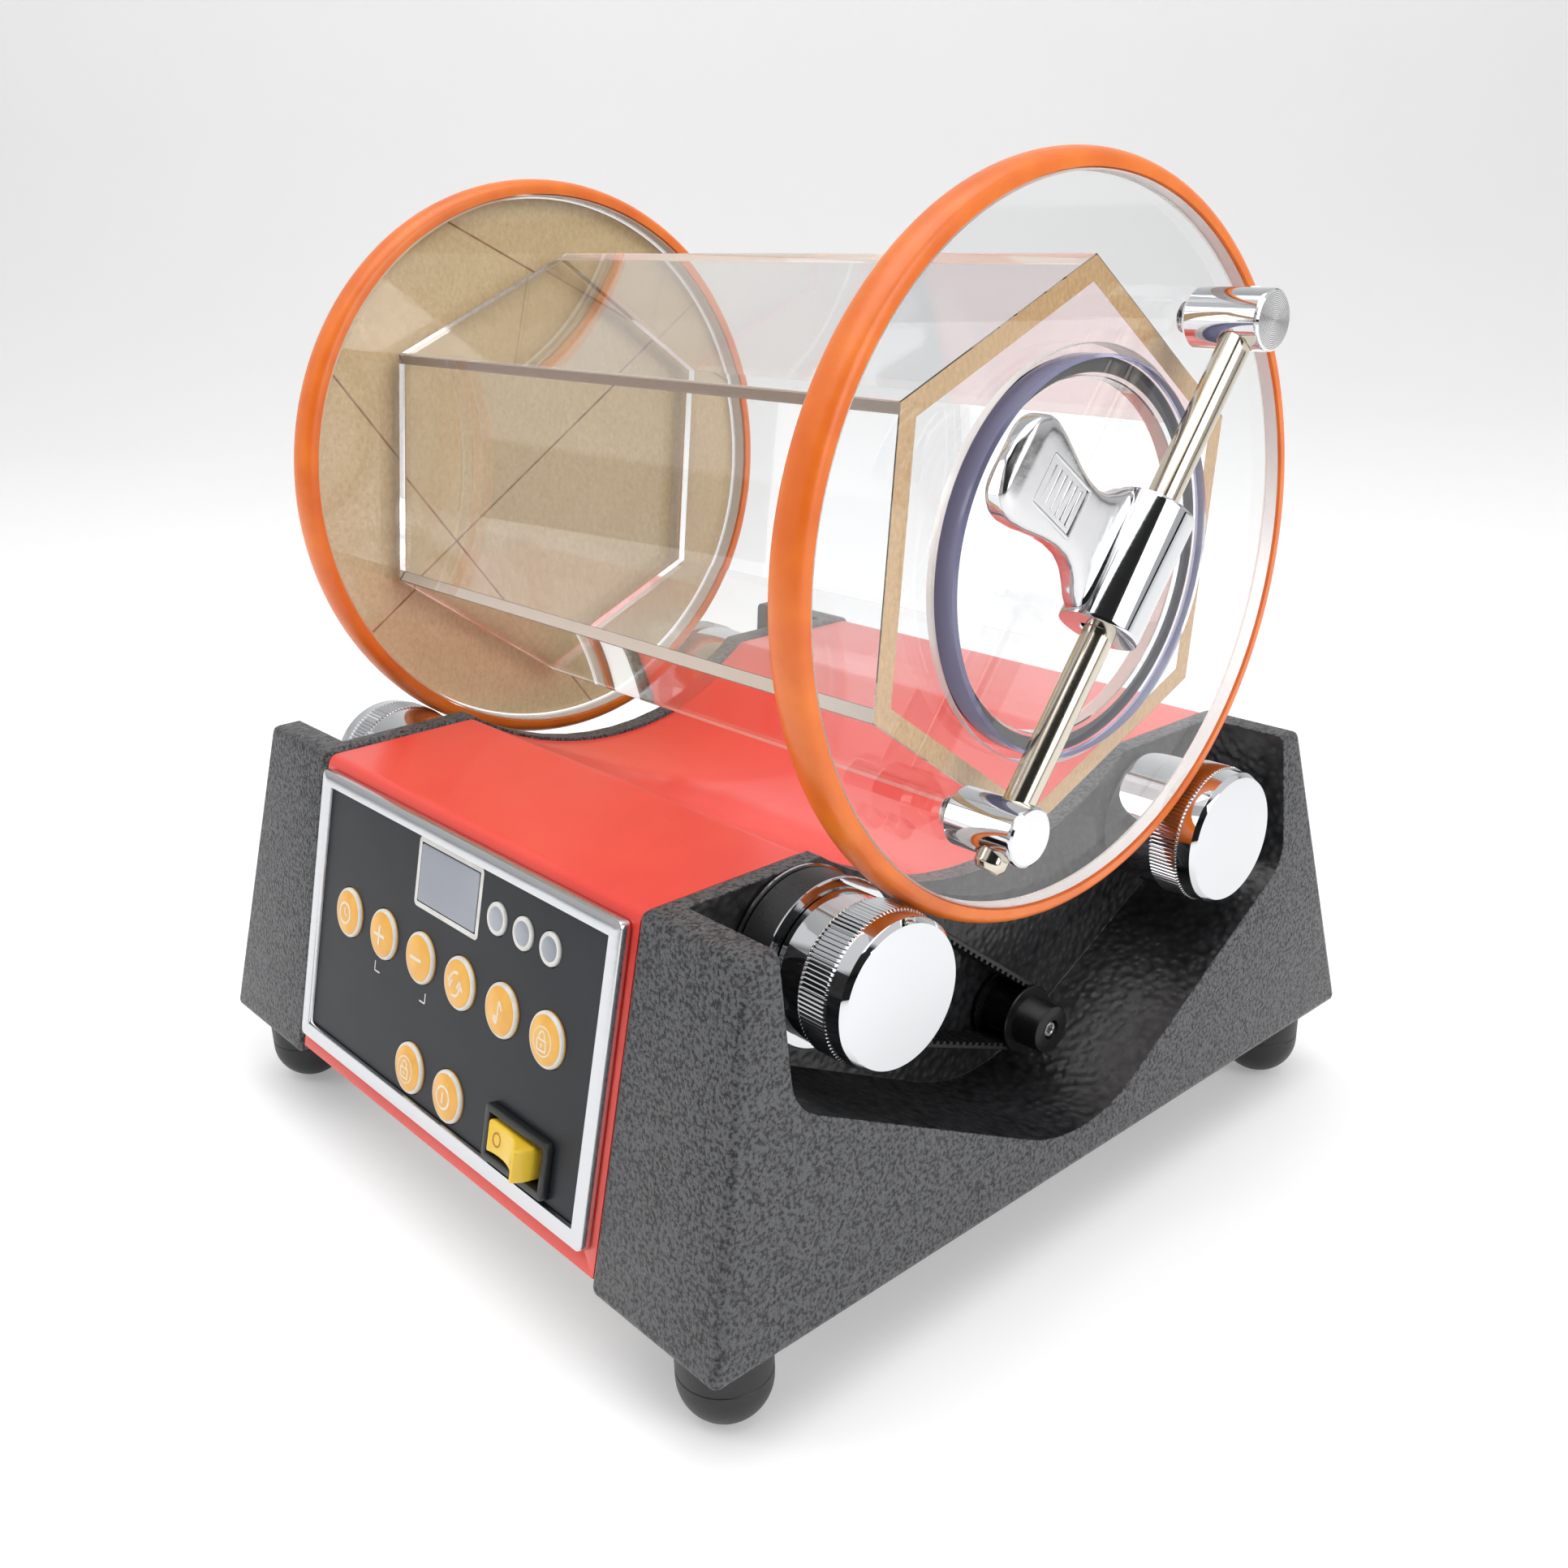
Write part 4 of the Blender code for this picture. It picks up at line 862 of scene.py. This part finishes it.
AMBER.bump(AMBER.noise(1900, 2), 0.00003, 0.4)
PALE = Finish("pale_print", (0.80, 0.78, 0.74), 0.42)
PALE.tinted(300, 3, (0.70, 0.68, 0.64), (0.84, 0.82, 0.79))
PALE.bump(PALE.noise(1500, 2), 0.00002, 0.3)
CREAM = Finish("cream_print", (0.88, 0.78, 0.62), 0.42)
CREAM.tinted(500, 3, (0.84, 0.70, 0.50), (0.92, 0.84, 0.70))
CREAM.bump(CREAM.noise(1500, 2), 0.00002, 0.3)
WINDOW = Finish("display_grey", (0.31, 0.33, 0.38), 0.22, Coat_Weight=0.3)
WINDOW.tinted(26, 1, (0.25, 0.27, 0.32), (0.38, 0.40, 0.45))
WINDOW.bump(WINDOW.noise(700, 2), 0.00002, 0.3)
YELLOW = Finish("yellow_plastic", (0.90, 0.60, 0.04), 0.24, Subsurface_Weight=0.12,
                Subsurface_Scale=0.002)
YELLOW.tinted(120, 2, (0.89, 0.56, 0.03), (0.94, 0.65, 0.06))
YELLOW.bump(YELLOW.noise(1800, 2), 0.00002, 0.3)
RUST = Finish("red_mark", (0.50, 0.11, 0.04), 0.45)
RUST.tinted(900, 2, (0.42, 0.09, 0.03), (0.60, 0.16, 0.07))

# %% Frame, film and window
SEAT = -0.7
FACE = SEAT + 1.5
section = [(0, SEAT), (0, SEAT + 2.2), (0.25, SEAT + 2.75), (0.8, SEAT + 3.0),
           (4.2, SEAT + 3.0), (4.75, SEAT + 2.75), (5.0, SEAT + 2.2), (5.0, SEAT)]
bezel = swept("chrome_bezel", (-78, 9.7), (78, 96.7), 2.0, section, PANEL)
settle(wear(bezel, BEZEL), "stand", "polished_chrome", "front_bezel")
window = slab("grey_window", (-17.2, 72.8), (13.4, 89.6), 0.6, SEAT - 1.5, FACE + 0.2, PANEL,
              edge=0.15)
settle(wear(window, WINDOW), "stand", "display_plastic", "display_window")
for index, x in enumerate((23.8, 36.4, 49.0)):
    at = PANEL.copy()
    at[:, 3] = carry([x, 80.2, 0], PANEL)
    dome = [(0, FACE + 0.85), (1.6, FACE + 0.8), (2.8, FACE + 0.65), (3.3, FACE + 0.5),
            (3.5, FACE + 0.62), (3.9, FACE + 0.7), (4.3, FACE + 0.6), (4.55, FACE + 0.3),
            (4.6, SEAT - 3), (0, SEAT - 3)]
    lamp = turned(f"lamp_{index + 1}", dome, at, 64)
    wear(lamp, WINDOW, PALE)
    middles = face_middles(lamp) - at[:, 3]
    local = middles @ at[:, :3]
    paint_faces(lamp, np.hypot(local[:, 0], local[:, 1]) > 3.3)
    settle(lamp, "stand", "display_plastic", f"indicator_lamp_{index + 1}")


# %% [markdown]
# ### Keys and their pictures

# %% Strokes on a dome
def dome(r, radius=7.6):
    """Height of a key above the film: 2 - 1.2 (r / R)^2.6."""
    return FACE + 2.0 - 1.2 * (np.minimum(r, radius) / radius) ** 2.6


def stroke(points, width, lift=0.05, height=dome, closed=False):
    """A line given a width, as rows of (left, right) points laid just above the dome."""
    line = np.asarray(points, float)
    fine = np.concatenate([[0], np.cumsum(np.linalg.norm(np.diff(line, axis=0), axis=1))])
    along = np.linspace(0, fine[-1], max(6, int(fine[-1] / 0.3)))
    line = np.column_stack([np.interp(along, fine, line[:, k]) for k in (0, 1)])
    if closed:
        way = np.roll(line[:-1], -1, axis=0) - np.roll(line[:-1], 1, axis=0)
        way = np.vstack([way, way[:1]])
    else:
        way = np.gradient(line, axis=0)
    way /= np.linalg.norm(way, axis=1, keepdims=True) + 1e-12
    normal = np.column_stack([-way[:, 1], way[:, 0]]) * width / 2
    sides = np.stack([line + normal, line - normal], axis=1)
    tall = height(np.hypot(sides[..., 0], sides[..., 1])) + lift
    return np.concatenate([sides, tall[..., None]], axis=-1)


def ring_points(cx, cy, r, start=0, stop=360):
    """Points along an arc; the angles are in degrees."""
    angles = np.radians(np.linspace(start, stop, 40))
    return np.column_stack([cx + r * np.cos(angles), cy + r * np.sin(angles)])


PADLOCK = [([(-1.9, -2.6), (1.9, -2.6), (1.9, 0.3), (-1.9, 0.3), (-1.9, -2.6)], 0.6),
           ([(-1.2, 0.3), (-1.2, 1.3), *ring_points(0, 1.3, 1.2, 180, 0), (1.2, 0.3)], 0.55),
           ([(0, -0.6), (0, -1.9)], 0.7), (ring_points(0, -0.2, 3.9), 0.4)]
PICTURES = {
    "timer": [(ring_points(0, 0, 3.1), 0.75), ([(0, 0), (0, 1.9)], 0.6),
              ([(0, 0), (1.4, -0.7)], 0.6)],
    "faster": [([(-3, 0), (3, 0)], 1.0), ([(0, -3), (0, 3)], 1.0)],
    "slower": [([(-3, 0), (3, 0)], 1.0)],
    "direction": [(ring_points(0.4, 0.4, 3.0, 75, 190), 0.8),
                  (ring_points(-0.4, -0.4, 3.0, 255, 370), 0.8),
                  ([(-3.9, 1.2), (-2.5, -1.4), (-1.2, 0.9)], 0.7),
                  ([(3.9, -1.2), (2.5, 1.4), (1.2, -0.9)], 0.7)],
    "alarm": [([(0.7, -2.2), (0.7, 3.0)], 0.7), ([(0.7, 3.0), (1.6, 2.0), (2.3, 0.8)], 0.8),
              (ring_points(-0.4, -2.3, 0.65), 1.3)],
    "memory_right": PADLOCK,
    "memory_left": PADLOCK,
    "start": [(ring_points(0, 0, 3.2), 0.75), ([(0, -1.6), (0, 1.6)], 0.8)],
}
SPOTS = {name: (-55 + 21.5 * i, 57) for i, name in
         enumerate(("timer", "faster", "slower", "direction", "alarm", "memory_right"))}
SPOTS.update(memory_left=(-12, 23.5), start=(9.5, 23.5))

for name, (x, y) in SPOTS.items():
    at = PANEL.copy()
    at[:, 3] = carry([x, y, 0], PANEL)
    rs = np.linspace(0, 6.55, 14)
    outline = [(r, float(dome(r))) for r in rs] + [(6.7, float(dome(6.7)) - 0.06)]
    outline += [(6.85, float(dome(6.85))), (7.2, float(dome(7.2)) - 0.02), (7.5, FACE + 0.62),
                (7.6, FACE + 0.3), (7.6, SEAT - 3), (0, SEAT - 3)]
    key = turned(f"key_{name}", outline, at, 96, sharp=50)
    marks = [surface(f"mark_{k}", carry(stroke(line, width), at), wrap_columns=False, caps=False)
             for k, (line, width) in enumerate(PICTURES[name])]
    key_faces = len(key.data.polygons)
    local = (face_middles(key) - at[:, 3]) @ at[:, :3]
    rim = (np.hypot(local[:, 0], local[:, 1]) > 6.75) & (local[:, 2] > FACE)
    whole = joined(f"amber_key_{name}", key, *marks)
    wear(whole, AMBER, PALE, CREAM)
    index = np.full(len(whole.data.polygons), 2, np.int32)
    index[:key_faces] = rim
    whole.data.polygons.foreach_set("material_index", index)
    settle(whole, f"button_{name}", "amber_keys", f"button_{name}")

# %% [markdown]
# ### Printed lines and the switch
#
# A pale border round the window, rings round the lamps and a bracket that joins the two
# speed keys are printed on the film. The words beside the keys are left out.

# %% Printed lines
def flat(r):
    """The film's own height, wherever it is asked for."""
    return np.full(np.shape(r), FACE)


border = round_rect((-18.3, 71.7), (14.5, 90.7), 0.8)
border = np.vstack([border, border[:1]])
printed = []
for k, (line, width, shut) in enumerate([
        (border, 1.5, True),
        ([(-37.5, 47.6), (-37.5, 44.6), (-34.5, 44.6)], 0.45, False),
        ([(-11.0, 44.6), (-8.0, 44.6), (-8.0, 47.6)], 0.45, False)]):
    printed.append(surface(f"line_{k}", carry(stroke(line, width, 0.04, flat, shut), PANEL),
                           wrap_columns=False, caps=False))
settle(wear(joined("printed_lines", *printed), PALE), "stand", "panel_film")

# %% Switch
low, high = (31.2, 15.6), (60.8, 31.8)
section = [(0, FACE + 0.3), (0, FACE + 1.6), (0.2, FACE + 2.1), (0.7, FACE + 2.3),
           (2.0, FACE + 2.3), (2.3, FACE + 2.1), (2.4, FACE + 1.8), (2.9, FACE - 9),
           (2.0, FACE - 9), (2.0, FACE + 0.3)]
collar = swept("switch_collar", low, high, 1.6, section, PANEL)
settle(wear(collar, BLACK), "stand", "black_plastic", "switch_housing")

TILT = radians(14)
origin = carry([46, 23.7, FACE - 1.5], PANEL)
x_way, y_way = np.array([1.0, 0, 0]), PANEL[:, 2]
ROCKER = frame_of(cos(TILT) * x_way + sin(TILT) * y_way,
                  -sin(TILT) * x_way + cos(TILT) * y_way, origin)
half, top = 10.2, 7.1
across = np.linspace(1, -1, 25)
upper = [(x * (half - 0.9), top - 2.4 * (1 - abs(x) ** 2.2)) for x in across]
outline = [(-half, 3.0), (-half + 1.4, -2.4), (0, -4.2), (half - 1.4, -2.4), (half, 3.0),
           (half, top - 1.2), (half - 0.25, top - 0.35)] + upper + [(-half + 0.25, top - 0.35),
                                                                     (-half, top - 1.2)]
rocker = prism("rocker", outline, -4.55, 4.55, ROCKER, edge=0.8, sharp=40)
body_faces = len(rocker.data.polygons)
ring = stroke(ring_points(0, 0, 1.9), 0.5, 0, flat)
mark_x = ring[..., 0] * 0.75 - 6.1
mark_top = top - 2.4 * (1 - np.abs(mark_x / (half - 0.9)) ** 2.2) + 0.05
local = np.stack([mark_x, mark_top, ring[..., 1]], axis=-1)
mark = surface("rocker_mark", carry(local, ROCKER), wrap_columns=False, caps=False)
rocker = joined("yellow_rocker", rocker, mark)
wear(rocker, YELLOW, RUST)
index = np.ones(len(rocker.data.polygons), np.int32)
index[:body_faces] = 0
rocker.data.polygons.foreach_set("material_index", index)
settle(rocker, "rocker", "yellow_plastic", "switch_rocker")

# %% [markdown]
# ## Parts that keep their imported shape
#
# The rest is inside, underneath or at the back. Each one keeps its shape and gets a finish.

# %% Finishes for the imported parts
BOARD = Finish("circuit_board", (0.02, 0.17, 0.06), 0.35)
BOARD.colour(BOARD.ramp(BOARD.cells(300), (0.3, (0.02, 0.15, 0.05)), (0.6, (0.03, 0.22, 0.09))))
BOARD.bump(BOARD.cells(500), 0.0001, 0.4)
for finish, names in (
        (FILM, ["panel_overlay"]), (BOARD, ["control_board"]),
        (BLACK, ["power_inlet", "fuse_holder"]),
        (STEEL, ["base_plate", "bearing_front_left", "bearing_front_right", "bearing_rear_left",
                 "bearing_rear_right", "motor", "motor_bracket", "motor_shaft", "drive_shaft",
                 "idler_shaft"])):
    for name in names:
        wear(nodes[name], finish)

# %% [markdown]
# ## Floor, light and camera
#
# A pale sweep runs under and behind the machine. A white sky, one large lamp above and two
# tall lamps at the sides light it. The sky is dark behind the viewer and in one low band, so
# that polished metal has something dark to mirror: its tone is ramp(z) times ramp(d . v),
# where d is the direction looked in and v points back at the viewer.

# %% Studio
FLOOR_LOOK = Finish("studio_floor", (0.86, 0.86, 0.86), 0.8, Emission_Color=(1, 1, 1, 1),
                    Emission_Strength=0.25)
FLOOR_LOOK.tinted(3, 2, (0.855, 0.855, 0.855), (0.87, 0.87, 0.87))
bend = [(1500 + 600 * sin(a), 600 - 600 * cos(a)) for a in np.linspace(0, pi / 2, 24)]
line = np.array([(-3500, 0)] + bend + [(2100, 4000)])
look = np.array([-sin(radians(48.6)), cos(radians(48.6))])
side_way = np.array([look[1], -look[0]])
sweep = np.stack([np.column_stack([look[0] * line[:, 0] + side_way[0] * s,
                                   look[1] * line[:, 0] + side_way[1] * s, line[:, 1] - 0.05])
                  for s in (-4000, 4000)])
floor = surface("studio_sweep", sweep, wrap_columns=False, caps=False)
wear(floor, FLOOR_LOOK)

world = bpy.data.worlds.new("white_sky")
bpy.context.scene.world = world
world.use_nodes = True
tree = world.node_tree
background = tree.nodes["Background"]
way = tree.nodes.new("ShaderNodeTexCoord").outputs["Generated"]
parts = tree.nodes.new("ShaderNodeSeparateXYZ")
tree.links.new(way, parts.inputs[0])
height = tree.nodes.new("ShaderNodeValToRGB")
tree.links.new(parts.outputs["Z"], height.inputs[0])
BLUISH = 1.01
for position, tone in ((0.0, 0.62), (0.30, 0.80), (0.42, 0.30), (0.50, 0.95), (0.85, 1.0)):
    stop = height.color_ramp.elements.new(position)
    stop.color = (tone, tone, tone * BLUISH, 1)
behind = tree.nodes.new("ShaderNodeVectorMath")
behind.operation = "DOT_PRODUCT"
behind.inputs[1].default_value = (0.70, -0.62, 0.36)
tree.links.new(way, behind.inputs[0])
card = tree.nodes.new("ShaderNodeValToRGB")
tree.links.new(behind.outputs["Value"], card.inputs[0])
for position, tone in ((0.70, 1.0), (0.78, 0.04)):
    stop = card.color_ramp.elements.new(position)
    stop.color = (tone, tone, tone, 1)
card.color_ramp.elements[0].color = (1, 1, 1, 1)
card.color_ramp.elements[-1].color = (0.03, 0.03, 0.03, 1)
shade = tree.nodes.new("ShaderNodeMix")
shade.data_type, shade.blend_type = "RGBA", "MULTIPLY"
shade.inputs[0].default_value = 1
tree.links.new(height.outputs[0], shade.inputs[6])
tree.links.new(card.outputs[0], shade.inputs[7])
tree.links.new(shade.outputs[2], background.inputs["Color"])
background.inputs["Strength"].default_value = 0.80
plain = tree.nodes.new("ShaderNodeBackground")
plain.inputs["Color"].default_value = (1, 1, 1, 1)
ray = tree.nodes.new("ShaderNodeLightPath")
mix = tree.nodes.new("ShaderNodeMixShader")
tree.links.new(ray.outputs["Is Camera Ray"], mix.inputs[0])
tree.links.new(background.outputs[0], mix.inputs[1])
tree.links.new(plain.outputs[0], mix.inputs[2])
tree.links.new(mix.outputs[0], tree.nodes["World Output"].inputs["Surface"])


def lamp(name, at, aim, size, power, mirrored=True):
    """A soft rectangular lamp, aimed at a point; places in metres."""
    data = bpy.data.lights.new(name, "AREA")
    data.shape, data.size, data.size_y, data.energy = "RECTANGLE", size[0], size[1], power
    obj = bpy.data.objects.new(name, data)
    obj.location, obj.visible_glossy = at, mirrored
    obj.rotation_euler = (Vector(aim) - Vector(at)).to_track_quat("-Z", "Y").to_euler()
    bpy.context.scene.collection.objects.link(obj)


lamp("top_lamp", (0.1, -0.2, 1.5), (0, 0, 0.1), (1.4, 1.4), 12)
lamp("left_lamp", (-1.0, -1.3, 0.7), (0, 0, 0.12), (0.5, 1.3), 5.5, mirrored=False)
lamp("right_lamp", (1.5, 0.1, 0.8), (0, 0, 0.15), (0.8, 1.1), 9)

# %% Camera
AZIMUTH, ELEVATION, ROLL = radians(48.62), radians(20.96), radians(-1.50)
EYE = (0.35014, -0.30156, 0.27595)
LENS, SENSOR = 35.02, 36
ahead = Vector((-sin(AZIMUTH) * cos(ELEVATION), cos(AZIMUTH) * cos(ELEVATION), -sin(ELEVATION)))
level = Vector((cos(AZIMUTH), sin(AZIMUTH), 0))
upward = level.cross(ahead)
right = level * cos(ROLL) + upward * sin(ROLL)
above = -level * sin(ROLL) + upward * cos(ROLL)
camera = bpy.data.objects.new("camera", bpy.data.cameras.new("camera"))
turn = Matrix((right, above, -ahead)).transposed().to_4x4()
camera.matrix_world = Matrix.Translation(Vector(EYE) + Vector(SHIFT)) @ turn
camera.data.sensor_width, camera.data.lens = SENSOR, LENS
camera.data.shift_x, camera.data.shift_y = -0.0024, 0.0107
camera.data.clip_start = 0.01
bpy.context.scene.collection.objects.link(camera)
bpy.context.scene.camera = camera
bpy.context.scene.view_settings.view_transform = "Standard"
